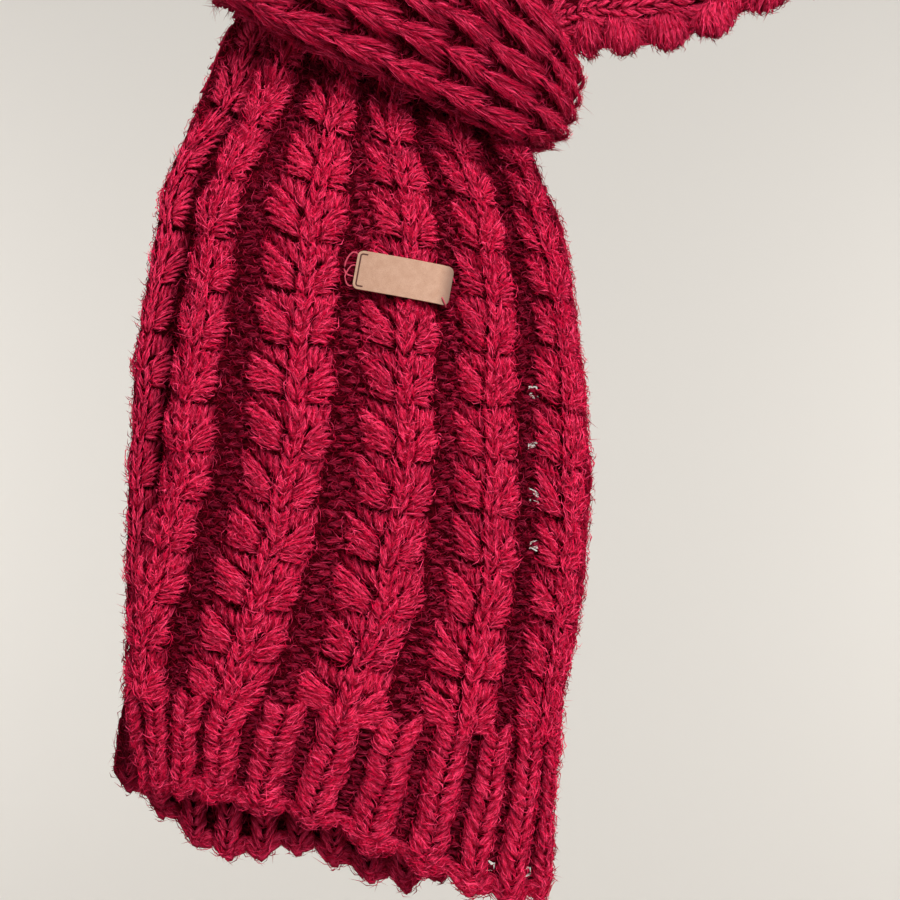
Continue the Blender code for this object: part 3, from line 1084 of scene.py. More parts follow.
def nap_tree() -> NodeTree:
    """A tree that lays fibres over yarn, along the way it runs.

    Returns:
        The tree.
    """
    made = ScatterTree(
        "brush up a nap", Fibres_per_square_metre="Float", Scatter="Vector",
        Smallest="Vector", Largest="Vector",
    )
    given = made.start
    nap, run = (
        live(made.add("GeometryNodeInputNamedAttribute", {"Name": name}, data_type=kind).outputs, "Attribute")
        for name, kind in (("nap", "FLOAT"), ("run", "FLOAT_VECTOR"))
    )
    density = made.math("MULTIPLY", nap, given["Fibres per square metre"])
    yarn = {"Mesh": given["Geometry"], "Density": density, "Seed": given["Seed"]}
    roots = made.add("GeometryNodeDistributePointsOnFaces", yarn, distribute_method="RANDOM").outputs
    align = "FunctionNodeAlignRotationToVector"
    up = made.add(align, {"Vector": live(roots, "Normal")}, axis="Z").outputs[0]
    on = made.add(align, {"Rotation": up, "Vector": run}, axis="X", pivot_axis="Z").outputs[0]
    stray = made.turn(made.within(given["Scatter"]))
    turned = made.add("FunctionNodeRotateRotation", {0: on, 1: stray}, rotation_space="LOCAL").outputs[0]
    size = made.random("FLOAT_VECTOR", given["Smallest"], given["Largest"])
    return made.finish(roots[0], turned, size)


def new_object(name: str, data: ID) -> Object:
    """An object of the scene, of a mesh, a camera or a light.

    Args:
        name: The object's name.
        data: What it holds.

    Returns:
        The object.
    """
    made = bpy.data.objects.new(name, data)
    bpy.context.scene.collection.objects.link(made)
    return made


def store_of(name: str, meshes: Sequence[Mesh]) -> Collection:
    """A collection, outside the scene, of an object for each mesh.

    Args:
        name: The collection's name.
        meshes: The meshes.

    Returns:
        The collection.
    """
    store = bpy.data.collections.new(name)
    for mesh in meshes:
        store.objects.link(bpy.data.objects.new(mesh.name, mesh))
    return store


def discard(store: Collection) -> None:
    """Removes a collection and what it holds."""
    for piece in list(store.objects):
        mesh = piece.data
        bpy.data.objects.remove(piece)
        bpy.data.meshes.remove(mesh)
    bpy.data.collections.remove(store)


def grown(base: Mesh, tree: NodeTree, values: dict, name: str) -> Mesh:
    """What a tree makes of a mesh, as a plain mesh.

    Args:
        base: The mesh that the tree starts from, which is then removed.
        tree: The tree.
        values: A value for each named input.
        name: The new mesh's name.

    Returns:
        The plain mesh.
    """
    holder = new_object("holder", base)
    modifier = holder.modifiers.new("grow", "NODES")
    modifier.node_group = tree
    inputs = [item for item in tree.interface.items_tree if item.in_out == "INPUT"]
    sockets = {item.name: item.identifier for item in inputs}
    for key, value in values.items():
        modifier[sockets[key]] = value
    graph = bpy.context.evaluated_depsgraph_get()
    graph.update()
    mesh = bpy.data.meshes.new_from_object(
        holder.evaluated_get(graph), preserve_all_data_layers=True, depsgraph=graph
    )
    bpy.data.objects.remove(holder)
    bpy.data.meshes.remove(base)
    mesh.materials.clear()
    mesh.materials.append(values["Material"])
    mesh.polygons.foreach_set("material_index", np.zeros(len(mesh.polygons), np.int32))
    mesh.name = name
    return mesh


def read(mesh: Mesh, name: str, size: int) -> np.ndarray:
    """A point attribute of a mesh.

    Args:
        mesh: The mesh.
        name: The attribute's name, or position.
        size: How many numbers a point has.

    Returns:
        An array with a row for each point.
    """
    data = mesh.attributes[name].data
    values = np.empty(len(data) * size, np.float32)
    data.foreach_get("value" if size == 1 else "vector", values)
    return values.reshape(-1, size).astype(float)


def write(mesh: Mesh, name: str, values: np.ndarray) -> None:
    """Sets a point attribute of a mesh, and makes it if it isn't there.

    Args:
        mesh: The mesh.
        name: The attribute's name, or position.
        values: A number or three for each point.
    """
    vector = values.ndim == 2
    held = mesh.attributes.get(name) or mesh.attributes.new(
        name, "FLOAT_VECTOR" if vector else "FLOAT", "POINT"
    )
    held.data.foreach_set("vector" if vector else "value", values.astype(np.float32).ravel())


def map_flat(mesh: Mesh, name: str, flat: np.ndarray) -> None:
    """Gives a mesh a UV map of where its points lie when flat.

    Args:
        mesh: The mesh.
        name: The map's name.
        flat: The points when flat, in mm.
    """
    corners = np.empty(len(mesh.loops), np.int32)
    mesh.loops.foreach_get("vertex_index", corners)
    uv = mesh.uv_layers.new(name=name)
    uv.data.foreach_set("uv", flat[corners][:, :2].astype(np.float32).ravel())


def triangles(piece: Object) -> int:
    """How many triangles a piece has, before its modifiers."""
    return sum(len(face.vertices) - 2 for face in piece.data.polygons)


def report(piece: Object) -> Object:
    """Logs a finished piece and its size, and gives it back."""
    LOG.info("%s: %d triangles", piece.name, triangles(piece))
    return piece


# --- Finishes ---


WOOL_SHEEN = (1.0, 0.04, 0.14, 1.0)
CLOTH_SHEEN = (1.0, 0.05, 0.15, 1.0)
# Painted light: the top of the painted shade's ramp, a little over the colour itself.
FULL_LIGHT = (1.08, 1.08, 1.08)


class Shader(Nodes):
    """A material's node tree in the making."""

    def __init__(self, name: str, **values: object) -> None:
        """Starts a material with a Principled shader.

        Args:
            name: The material's name.
            values: A value for each of the shader's own sockets, with _ for a space.
        """
        self.material = bpy.data.materials.new(name)
        self.material.use_nodes = True
        super().__init__(self.material.node_tree)
        self.surface = self.tree.nodes["Principled BSDF"].inputs
        for key, value in values.items():
            self.surface[key.replace("_", " ")].default_value = value

    def uv(self, name: str) -> NodeSocket:
        """The place on the UV map of this name."""
        return self.add("ShaderNodeUVMap", uv_map=name).outputs[0]

    def attribute(self, name: str) -> NodeSocket:
        """A number that the mesh holds at each point."""
        return self.add("ShaderNodeAttribute", attribute_name=name).outputs["Fac"]

    def noise(self, place: NodeSocket, **values: float) -> NodeSocket:
        """Noise at a place, with these values for its sockets."""
        return self.add("ShaderNodeTexNoise", {"Vector": place, **values}).outputs["Fac"]

    def ramp(self, value: NodeSocket, *stops: tuple[float, Colour]) -> NodeSocket:
        """A run of colours.

        Args:
            value: Where to read it.
            stops: Places and their colours.

        Returns:
            The colour.
        """
        node = self.add("ShaderNodeValToRGB", {0: value})
        elements = node.color_ramp.elements
        elements.remove(elements[1])
        elements[0].position = stops[0][0]
        elements[0].color = (*stops[0][1], 1)
        for place, colour in stops[1:]:
            elements.new(place).color = (*colour, 1)
        return node.outputs[0]

    def mix(self, blend: str, share: object, first: object, second: object) -> NodeSocket:
        """Two colours as one.

        Args:
            blend: How they mix.
            share: How much of the second.
            first: A colour or a socket.
            second: A colour or a socket.

        Returns:
            The colour.
        """
        node = self.add("ShaderNodeMix", data_type="RGBA", blend_type=blend)
        for name, value in (("Factor", share), ("A", first), ("B", second)):
            self.feed(live(node.inputs, name), (*value, 1) if isinstance(value, tuple) else value)
        return live(node.outputs, "Result")

    def shaded(self, colour: NodeSocket, deep: Colour, half: Colour) -> NodeSocket:
        """A colour with painted shade: darker where the mesh's attribute height says that it lies deep in
        shade.

        Args:
            colour: The colour in full light.
            deep: Its share of the light at the bottom.
            half: The share half way up.

        Returns:
            The colour.
        """
        stops = zip(SHADE_STOPS, (deep, half, FULL_LIGHT))
        return self.mix("MULTIPLY", 1.0, colour, self.ramp(self.attribute("height"), *stops))

    def dress(
        self,
        colour: NodeSocket,
        relief: Optional[NodeSocket] = None,
        bump: float = 0.0,
        depth: float = 0.0,
    ) -> Material:
        """Joins the colour and the relief to the shader.

        Args:
            colour: The base colour.
            relief: Its height, none for a smooth surface.
            bump: How strongly the relief shows.
            depth: How deep it is, in mm.

        Returns:
            The finished material.
        """
        self.feed(self.surface["Base Color"], colour)
        if relief:
            inputs = {"Height": relief, "Strength": bump, "Distance": depth * MM}
            self.feed(self.surface["Normal"], self.add("ShaderNodeBump", inputs).outputs[0])
        return self.material


class YarnShader(Shader):
    """The node tree of a yarn, whose patterns follow its fibres."""

    def __init__(self, name: str, **values: object) -> None:
        """Starts the material and reads the yarn's place round and along, in mm, and its dye.

        Args:
            name: The material's name.
            values: A value for each of the shader's own sockets, with _ for a space.
        """
        super().__init__(name, **values)
        split = self.add("ShaderNodeSeparateXYZ", {0: self.uv("yarn")}).outputs
        self.round_it, self.on = split["X"], split["Y"]
        self.dye = self.attribute("dye")

    def drawn(self, slant: float, pitch: tuple[float, float]) -> NodeSocket:
        """Noise drawn out along the yarn.

        Args:
            slant: How far the pattern turns round the yarn for each mm along it.
            pitch: How often it repeats in a mm round and along.

        Returns:
            The noise.
        """
        turned = self.math("MULTIPLY_ADD", self.on, slant, self.round_it)
        place = self.xyz(
            X=self.math("MULTIPLY", turned, pitch[0]),
            Y=self.math("MULTIPLY", self.on, pitch[1]),
            Z=self.math("MULTIPLY_ADD", self.dye, 37.0, slant * 50),
        )
        return self.noise(place, Scale=1.0, Detail=2.0, Roughness=0.55, Distortion=0.4)

    def lines(self, slant: float, pitch: float) -> NodeSocket:
        """Bright fibres along the yarn, as thin wandering lines, which carry the painted highlights and part
        of the relief.

        Args:
            slant: How far the fibres turn round the yarn for each mm along it.
            pitch: How many lie in a mm round the yarn, roughly.

        Returns:
            1 in a fibre and 0 between them.
        """
        off = self.math("ABSOLUTE", self.math("SUBTRACT", self.drawn(slant, (pitch, 0.16)), 0.5))
        line = self.math("MULTIPLY_ADD", off, -15.0, 1.0)
        return self.math("MULTIPLY", self.math("MAXIMUM", line, 0.0), 0.9)


@dataclass(frozen=True)
class WoolYarn:
    """Brushed crimson yarn: long fibres with painted highlights over a core with painted shade."""

    name: str
    # gap and shade are painted shade in the pockets between the fibres, body is the wool's own crimson and
    # glint is a painted highlight.
    gap: Colour = (0.055, 0.0005, 0.004)
    shade: Colour = (0.22, 0.0018, 0.015)
    body: Colour = (0.48, 0.0040, 0.034)
    glint: Colour = (0.98, 0.050, 0.150)
    dyes: tuple[Colour, Colour] = ((0.84, 0.84, 0.86), (1.12, 1.12, 1.1))
    lines: tuple[tuple[float, float], ...] = ((0.05, 1.3), (0.30, 1.2), (-0.26, 1.15))
    bump: float = 0.9

    def make(self) -> Material:
        """The finish as a material.

        Returns:
            The material.
        """
        shader = YarnShader(
            self.name, Roughness=0.85, Specular_IOR_Level=0.015, Sheen_Weight=0.25,
            Sheen_Roughness=0.45, Sheen_Tint=WOOL_SHEEN,
        )
        lines = shader.lines(*self.lines[0])
        for slant, pitch in self.lines[1:]:
            lines = shader.math("MAXIMUM", lines, shader.lines(slant, pitch))
        clouds = shader.drawn(0.0, (2.2, 0.5))
        # Painted shade: the clouds darken the yarn to gap and shade in its pockets.
        colour = shader.ramp(clouds, (0.40, self.gap), (0.50, self.shade), (0.60, self.body))
        # Painted highlights on the bright fibres.
        colour = shader.mix("MIX", lines, colour, self.glint)
        # Painted shade by the attribute height: darker deep in the knitting and below the fold.
        colour = shader.shaded(colour, (0.11, 0.07, 0.09), (0.55, 0.49, 0.51))
        tone = shader.ramp(shader.dye, (0.0, self.dyes[0]), (1.0, self.dyes[1]))
        relief = shader.math("ADD", clouds, shader.math("MULTIPLY", lines, 0.5))
        return shader.dress(shader.mix("MULTIPLY", 1.0, colour, tone), relief, self.bump, 0.5)


@dataclass(frozen=True)
class WoolCloth:
    """The plain knitted ground between and behind the ribs, seen only in the shade, and so dark with painted
    shade.
    """

    name: str
    # Dark colours as painted shade; the noise gives the ground's fibre texture, from the darker gap up to a
    # faint painted glint.
    gap: Colour = (0.015, 0.0002, 0.001)
    body: Colour = (0.10, 0.0010, 0.007)
    glint: Colour = (0.30, 0.0050, 0.024)
    bump: float = 0.7

    def make(self) -> Material:
        """The finish as a material.

        Returns:
            The material.
        """
        shader = Shader(
            self.name, Roughness=0.9, Specular_IOR_Level=0.02, Sheen_Weight=0.1,
            Sheen_Roughness=0.5, Sheen_Tint=CLOTH_SHEEN,
        )
        place = shader.vector("MULTIPLY", shader.uv("yarn"), (0.5, 1.1, 0.0))
        fibres = shader.noise(place, Scale=1.0, Detail=4.0, Roughness=0.7, Distortion=1.2)
        colour = shader.ramp(fibres, (0.42, self.gap), (0.62, self.body), (0.72, self.glint))
        return shader.dress(colour, fibres, self.bump, 0.8)


@dataclass(frozen=True)
class WoolNap:
    """Loose fibres over the yarn, each of its own brightness, with painted shade where they lie deep."""

    name: str
    dark: Colour = (0.20, 0.0012, 0.012)
    body: Colour = (0.74, 0.0070, 0.060)
    light: Colour = (1.0, 0.065, 0.180)

    def make(self) -> Material:
        """The finish as a material.

        Returns:
            The material.
        """
        shader = Shader(
            self.name, Roughness=0.6, Specular_IOR_Level=0.02, Sheen_Weight=0.2,
            Sheen_Roughness=0.4, Sheen_Tint=WOOL_SHEEN,
        )
        dye = shader.attribute("dye")
        colour = shader.ramp(dye, (0.0, self.dark), (0.5, self.body), (0.95, self.light))
        # Painted shade by the attribute height: darker deep in the knitting and below the fold.
        return shader.dress(shader.shaded(colour, (0.25, 0.18, 0.21), (0.66, 0.58, 0.61)))


@dataclass(frozen=True)
class TannedLeather:
    """Thin tan leather with a fine grain, a burnt line inside its left edge, a raw, paler rim and painted
    shade on its curled right end.
    """

    name: str
    half: tuple[float, float]
    corner: float
    pale: Colour = (0.475, 0.292, 0.205)
    body: Colour = (0.41, 0.238, 0.16)
    fleck: Colour = (0.27, 0.13, 0.09)
    burnt: Colour = (0.075, 0.026, 0.020)
    curl_shade: Colour = (0.20, 0.135, 0.105)
    line_inset: float = 1.0
    line_half: float = 0.24
    line_end: float = -11.2
    bend: float = 10.6
    bump: float = 0.4

    def make(self) -> Material:
        """The finish as a material.

        Returns:
            The material.
        """
        shader = Shader(self.name, Roughness=0.62, Specular_IOR_Level=0.3)
        place = shader.uv("leather")
        cloud, grain = (
            shader.noise(place, Scale=scale, Detail=3.0, Roughness=0.65) for scale in (0.35, 4.6)
        )
        colour = shader.ramp(cloud, (0.35, self.body), (0.65, self.pale))
        flecks = shader.ramp(grain, (0.34, (0.8, 0.8, 0.8)), (0.48, (0.0, 0.0, 0.0)))
        colour = shader.mix("MIX", flecks, colour, self.fleck)
        along = shader.add("ShaderNodeSeparateXYZ", {0: place}).outputs["X"]
        # Painted shade on the right end where it curls back, darker towards its tip.
        reach = {0: along, 1: self.bend, 2: self.half[0], 3: 0.0, 4: 0.8}
        curl_shade_mask = shader.add("ShaderNodeMapRange", reach).outputs[0]
        colour = shader.mix("MIX", curl_shade_mask, colour, self.curl_shade)
        colour = shader.mix("MIX", self.line(shader, place, along), colour, self.burnt)
        return shader.dress(colour, grain, self.bump, 0.08)

    def line(self, shader: Shader, place: NodeSocket, along: NodeSocket) -> NodeSocket:
        """The burnt line, which keeps its distance from the left edge and its two corners.

        Args:
            shader: The material in the making.
            place: The place on the leather in mm from its middle.
            along: Its first number.

        Returns:
            1 in the line and 0 beside it.
        """
        inner = (self.half[0] - self.corner, self.half[1] - self.corner, 0.0)
        past = shader.vector("SUBTRACT", shader.vector("ABSOLUTE", place), inner)
        past = shader.vector("MAXIMUM", past, (0.0, 0.0, 0.0))
        reach = shader.add("ShaderNodeVectorMath", {0: past}, operation="LENGTH").outputs["Value"]
        off = shader.math("ABSOLUTE", shader.math("SUBTRACT", self.corner - self.line_inset, reach))
        near = shader.math("LESS_THAN", off, self.line_half)
        return shader.math("MULTIPLY", near, shader.math("LESS_THAN", along, self.line_end))


@dataclass(frozen=True)
class PlainFinish:
    """One colour all over: fine thread, or the floor and the backdrop."""

    name: str
    colour: Colour
    roughness: float = 0.9
    gloss: float = 0.5

    def make(self) -> Material:
        """The finish as a material."""
        values = {"Roughness": self.roughness, "Specular_IOR_Level": self.gloss}
        return Shader(self.name, Base_Color=(*self.colour, 1.0), **values).material


# --- The scarf ---


@dataclass(frozen=True)
class Fibre:
    """A loose fibre, thin and pointed, through a few points in mm; it lies along x, with z up."""

    width: float
    keys: tuple[Point, ...]

    def mesh(self, name: str) -> Mesh:
        """The fibre as a closed mesh in metres.

        Args:
            name: The mesh's name.

        Returns:
            The mesh.
        """
        skein = Skein(3, np.random.default_rng(5))
        skein.wind(np.array(self.keys), self.width)
        mesh = skein.mesh(name)
        mesh.transform(Matrix.Scale(MM, 4))
        mesh.attributes.remove(mesh.attributes["run"])
        mesh.uv_layers.remove(mesh.uv_layers[0])
        return mesh


FIBRES = (
    Fibre(0.27, ((-2.0, 0.0, -0.1), (0.1, 0.1, 0.6), (2.0, -0.1, 0.2))),
    Fibre(0.25, ((-2.6, 0.1, -0.1), (-0.3, -0.3, 0.7), (2.5, 0.1, 0.1))),
    Fibre(0.25, ((-3.2, 0.0, -0.2), (0.4, 0.2, 0.7), (3.0, -0.1, 0.1))),
    Fibre(0.27, ((-1.6, 0.1, 0.0), (0.0, -0.3, 0.6), (1.7, 0.2, 0.4))),
    Fibre(0.24, ((-2.9, -0.1, -0.2), (-0.2, 0.4, 0.8), (3.1, -0.3, 0.2))),
    Fibre(0.25, ((-1.7, 0.2, 0.0), (0.3, 0.8, 0.8), (1.5, -0.5, 0.8))),
    Fibre(0.22, ((-1.2, 0.4, 0.0), (0.2, -0.8, 0.9), (0.5, 0.7, 1.6))),
)
CURLS = (
    Fibre(0.26, ((-1.6, 0.0, 0.0), (0.0, 0.7, 1.2), (1.6, 0.0, 1.6))),
    Fibre(0.26, ((-1.2, -0.3, 0.0), (0.1, 0.5, 1.4), (0.7, -0.6, 2.2))),
    Fibre(0.24, ((-2.1, 0.2, 0.0), (0.0, -0.6, 1.0), (2.0, 0.4, 0.9))),
    Fibre(0.26, ((-0.9, 0.0, 0.0), (0.2, 0.7, 0.8), (1.1, 0.1, 2.4))),
)


class Show(Enum):
    """How much of a stretch's ribbed side is seen."""

    OPEN = "open"
    BUNCHED = "bunched"
    PLAIN = "plain"
    EDGE = "edge"
    NONE = "none"


class Side(Enum):
    """The sides of the cloth, and how far their stitches stray: in mm, in size and in degrees."""

    RIBBED = (0.28, 0.07, 2.2)
    REVERSE = (0.2, 0.05, 1.5)


class Stitch(Enum):
    """The kinds of stitch, each with its pattern."""

    OPEN_EAR = OPEN_EAR
    BUNCHED_EAR = BUNCHED_EAR
    HIDDEN_EAR = HIDDEN_EAR
    OPEN_REVERSE = ReverseCell(EAR_PITCH, 4, 6.0)
    BUNCHED_REVERSE = ReverseCell(BUNCHED_PITCH, 2, 4.4)
    HEM = HemCell()
    SELVEDGE = EdgeCell(STITCH_ROW, 3.0, 1.3)
    CAST_ON = EdgeCell(CAST_ON_STEP, 3.5, 3.9, True)
    PLAIN_EAR = PLAIN_EAR
    PUFF = PuffCell()


class Coat(Enum):
    """The coats of fibres: how far each may turn, in degrees, its scales and the coat's seed."""

    NAP = ((30, 15, 36), (0.6, 0.8, 0.5), (1.5, 1.2, 1.7), 3)
    COMBED = ((14, 7, 12), (1.2, 0.8, 0.3), (2.4, 1.1, 0.9), 3)
    FUZZ = ((30, 15, 80), (0.6, 0.8, 0.5), (1.5, 1.2, 1.7), 19)
    CURLS = ((30, 15, 180), (0.6, 0.8, 0.5), (1.5, 1.2, 1.7), 29)


@dataclass(frozen=True)
class Layer:
    """A block of equal stitches: its columns and rows, its first stitch and its steps, in mm."""

    stitch: Stitch
    columns: int
    rows: int
    first: tuple[float, float]
    pitch: tuple[float, float]
    width: float
    number: int


@dataclass(frozen=True)
class Hole:
    """A gap between stitches that can be seen through: its share across and its place in mm."""

    share: float
    before_end: float


class Workshop:
    """What every stretch shares: the finishes, the node trees, the stitches and the fibres."""

    def __init__(self) -> None:
        """Makes them all."""
        self.yarn = WoolYarn("crimson wool yarn").make()
        self.cloth = WoolCloth("crimson wool ground").make()
        self.nap = WoolNap("crimson wool nap").make()
        self.knitting = knitting_tree()
        self.napping = nap_tree()
        self.stitches = {
            stitch: store_of(stitch.name, [stitch.value.knit(100 * kind + s) for s in range(VARIANTS)])
            for kind, stitch in enumerate(Stitch, 1)
        }
        self.fibres = store_of("fibres", [kind.mesh(f"fibre_{k}") for k, kind in enumerate(FIBRES)])
        self.curls = store_of("curls", [kind.mesh(f"curl_{k}") for k, kind in enumerate(CURLS)])

    def clear(self) -> None:
        """Removes what was only needed for making."""
        for store in (*self.stitches.values(), self.fibres, self.curls):
            discard(store)
        bpy.data.node_groups.remove(self.knitting)
        bpy.data.node_groups.remove(self.napping)


@dataclass
class Stretch:
    """A stretch of the scarf: its cloth, its stitches and its nap."""

    node: str
    strand: Strand
    start: str
    end: str
    show: Show
    cut: tuple[float, float]
    held: str
    rests_on: tuple[str, ...] = ()
    reverse_from: Optional[int] = None
    fibres: int = 0
    fuzz: int = 0
    curls: int = 0
    # The range that the stretch's painted shade is mapped into: its floor and its gain.
    shade: tuple[float, float] = (0.0, 1.0)
    puffed: bool = False
    combed: bool = False
    nap_from: str = ""
    reverse_fibres: int = 0
    hem: bool = False
    lobes: str = ""
    thin_below: float = 0.0
    # Where the fold hides the stretch: no nap grows above it and a painted shadow of the fold falls below it.
    hidden_above: float = 0.0
    holes: tuple[Hole, ...] = ()
    seed: int = 1
    pieces: list = field(default_factory=list)

    SEEN_ROWS: ClassVar[int] = 7
    CLOTH_COLUMNS: ClassVar[int] = 40
    CLOTH_STEP: ClassVar[float] = 3.5
    EDGE_INSET: ClassVar[float] = 0.6

    # For the painted shade: how light the rim looks at least, and the share of their light that some places
    # lose.
    RIM_LIGHT: ClassVar[float] = 0.56
    HEM_LOSS: ClassVar[float] = 0.3
    FOLD_LOSS: ClassVar[float] = 0.44
    VALLEY_LOSS: ClassVar[tuple[float, float]] = (0.34, 0.15)
    FIRST_RIB_LOSS: ClassVar[float] = 0.08

    def build(self, kit: Workshop) -> None:
        """Makes the stretch's pieces and ties them to the frame.

        Args:
            kit: The finishes, the trees, the stitches and the fibres.
        """
        self.kit = kit
        rows = self.strand.rows
        self.low = self.strand.place(self.start) + (SEAM / 2 if self.start != rows[0].name else 0)
        self.high = self.strand.place(self.end) - (SEAM / 2 if self.end != rows[-1].name else 0)
        self.open = self.show in (Show.OPEN, Show.EDGE)
        self.pitch = EAR_PITCH if self.open else BUNCHED_PITCH
        self.width = CUT_WIDTH if self.open else BUNCHED_WIDTH
        self.drape = Drape(self.strand, self.low, self.high, self.thin_below, self.hem, self.lobes)
        cloth = self.cloth()
        self.stitches()
        if self.curls:
            self.nap(cloth, Coat.CURLS, self.curls, "curls")
        if self.reverse_from is not None:
            self.reverse()
        for piece in (cloth, *self.pieces):
            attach(piece, BODY)
        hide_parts(self.node)

    def add(self, name: str, mesh: Mesh) -> Object:
        """Makes a piece of the stretch from a mesh, beside its cloth."""
        self.pieces.append(report(new_object(f"{self.node}_{name}", mesh)))
        return self.pieces[-1]

    def cloth(self) -> Object:
        """The plain ground of the knitting, with its see-through gaps.

        Returns:
            The cloth's object.
        """
        count = max(4, round((self.high - self.low) / self.CLOTH_STEP))
        along = np.linspace(self.low, self.high, count + 1)
        columns = self.CLOTH_COLUMNS if self.open else self.CLOTH_COLUMNS // 2
        x, y = np.meshgrid(np.linspace(0, CUT_WIDTH, columns + 1), -along)
        flat = np.stack([x.ravel(), y.ravel(), np.full(x.size, CLOTH_TOP)], axis=1)
        points = self.drape.lay(flat, CUT_WIDTH)
        line = columns + 1
        faces = []
        for r in range(count):
            for c in range(columns):
                if not self.in_hole((c + 0.5) / columns, (along[r] + along[r + 1]) / 2):
                    corner = r * line + c
                    faces.append((corner, corner + line, corner + line + 1, corner + 1))
        mesh = bpy.data.meshes.new(f"{self.node}_cloth")
        mesh.from_pydata(points.tolist(), [], faces)
        map_flat(mesh, "yarn", flat)
        mesh.shade_smooth()
        self.mark(mesh, flat)
        mesh.materials.append(self.kit.cloth)
        piece = new_object(f"{self.node}_cloth", mesh)
        wall = piece.modifiers.new("thickness", "SOLIDIFY")
        wall.thickness = CLOTH_THICKNESS * MM
        wall.offset = -1.0
        wall.use_even_offset = False
        return report(piece)

    def mark(self, mesh: Mesh, flat: np.ndarray) -> None:
        """Notes where curls grow on the ground, in the valleys and under the left wings, and their painted
        shade.

        Args:
            mesh: The laid ground.
            flat: Its points in the flat knitting.
        """
        share = (flat[:, 0] / EAR_PITCH) % 1
        seen = 1 - ramp(0.36, 0.44, share) + ramp(0.78, 0.86, share)
        seen = seen * self.below_fold(flat)
        if self.show is Show.EDGE:
            seen = seen * (1 - ramp(0.2, 0.24, flat[:, 0] / CUT_WIDTH))
        write(mesh, "nap", seen)
        write(mesh, "run", np.tile((1.0, 0.0, 0.0), (len(flat), 1)))
        # Painted shade for the curls on the ground: darkest in the valleys, lighter under the left wings.
        under_wing = ramp(0.0, 0.16, share) * (1 - ramp(0.36, 0.44, share))
        write(mesh, "height", 0.30 + 0.15 * under_wing)

    def below_fold(self, flat: np.ndarray) -> np.ndarray:
        """1 at each point below the place that the fold hides the stretch to, 0 above it."""
        return ramp(self.hidden_above - 4, self.hidden_above + 4, -flat[:, 1])

    def in_hole(self, share: float, along: float) -> bool:
        """Whether a place lies in one of the see-through gaps.

        Args:
            share: Its share across.
            along: Its place in mm.

        Returns:
            True in a gap.
        """
        half_column = 0.5 / self.CLOTH_COLUMNS
        half_row = self.CLOTH_STEP / 2
        return any(
            abs(share - hole.share) <= half_column
            and abs(along - (self.strand.length - hole.before_end)) <= half_row
            for hole in self.holes
        )

    def repeats(self) -> tuple[int, int, float]:
        """How the repeats of the ears lie in the stretch.

        Returns:
            The number of the last and that of the first, counted up from the hem, and the y of
            the first one's top.
        """
        start = self.strand.length - HEM_LENGTH
        last = 0 if self.hem else math.floor((start - self.high) / PUFF_PITCH + 0.5)
        first = max(math.ceil((start - self.low) / PUFF_PITCH - 0.5), last + 1)
        return last, first, -(start - PUFF_PITCH * first)

    def stitches(self) -> None:
        """Knits the ribbed side and brushes it."""
        layers = (*self.ears(), *self.edges())
        name = f"{self.node}_stitches"
        piece = self.add("stitches", merged(name, [self.knit(layer, Side.RIBBED) for layer in layers]))
        if self.fibres:
            self.nap(piece, Coat.COMBED if self.combed else Coat.NAP, self.fibres, "nap")
        if self.fuzz:
            self.nap(piece, Coat.FUZZ, self.fuzz, "fuzz")

    def ears(self) -> list[Layer]:
        """The wheat ears, in as many columns as the stretch shows.

        Returns:
            Their layers.
        """
        last, first, top = self.repeats()
        rows = first - last
        half = self.pitch / 2
        steps = ((self.pitch, -PUFF_PITCH), self.width)
        if self.show is Show.NONE:
            return []
        if self.show is Show.OPEN:
            return [Layer(Stitch.OPEN_EAR, EARS, rows, (half, top), *steps, 0)]
        if self.show is Show.EDGE:
            return [
                Layer(Stitch.OPEN_EAR, 1, rows, (half, top), *steps, 0),
                Layer(Stitch.HIDDEN_EAR, 1, rows, (self.pitch * 1.5, top), *steps, 1),
            ]
        plain = rows - self.SEEN_ROWS if self.show is Show.PLAIN else 0
        at = (half, top - plain * PUFF_PITCH)
        layers = [Layer(Stitch.PLAIN_EAR, EARS, plain, (half, top), *steps, 0)] if plain else []
        return [*layers, Layer(Stitch.BUNCHED_EAR, EARS, rows - plain, at, *steps, len(layers))]

    def edges(self) -> list[Layer]:
        """The selvedges, the puffs over one of them and, at a cast-on end, the hem.

        Returns:
            Their layers.
        """
        rows = int((self.high - self.low) / STITCH_ROW)
        top = -(self.low + 0.5 * STITCH_ROW)
        layers = [
            Layer(Stitch.SELVEDGE, 1, rows, (x, top), (1.0, -STITCH_ROW), CUT_WIDTH, number)
            for number, x in ((10, self.EDGE_INSET), (11, CUT_WIDTH - self.EDGE_INSET))
        ]
        if self.puffed:
            last, first, top = self.repeats()
            at = (BUNCHED_WIDTH, top - PUFF_PITCH * 0.3)
            layers.append(Layer(Stitch.PUFF, 1, first - last, at, (1.0, -PUFF_PITCH), BUNCHED_WIDTH, 30))
        if self.hem:
            pitch, row = CUT_WIDTH / HEM_RIBS, HEM_LENGTH / HEM_ROWS
            at = (pitch / 2, -(self.strand.length - HEM_LENGTH + row / 2 - 3.0))
            layers.append(Layer(Stitch.HEM, HEM_RIBS, HEM_ROWS, at, (pitch, -row), CUT_WIDTH, 20))
            at = (CAST_ON_STEP / 2, -(self.strand.length - 0.7))
            steps = (CAST_ON_STEP, 0.0)
            layers.append(Layer(Stitch.CAST_ON, CAST_ON_LINKS, 1, at, steps, CUT_WIDTH, 21))
        return layers

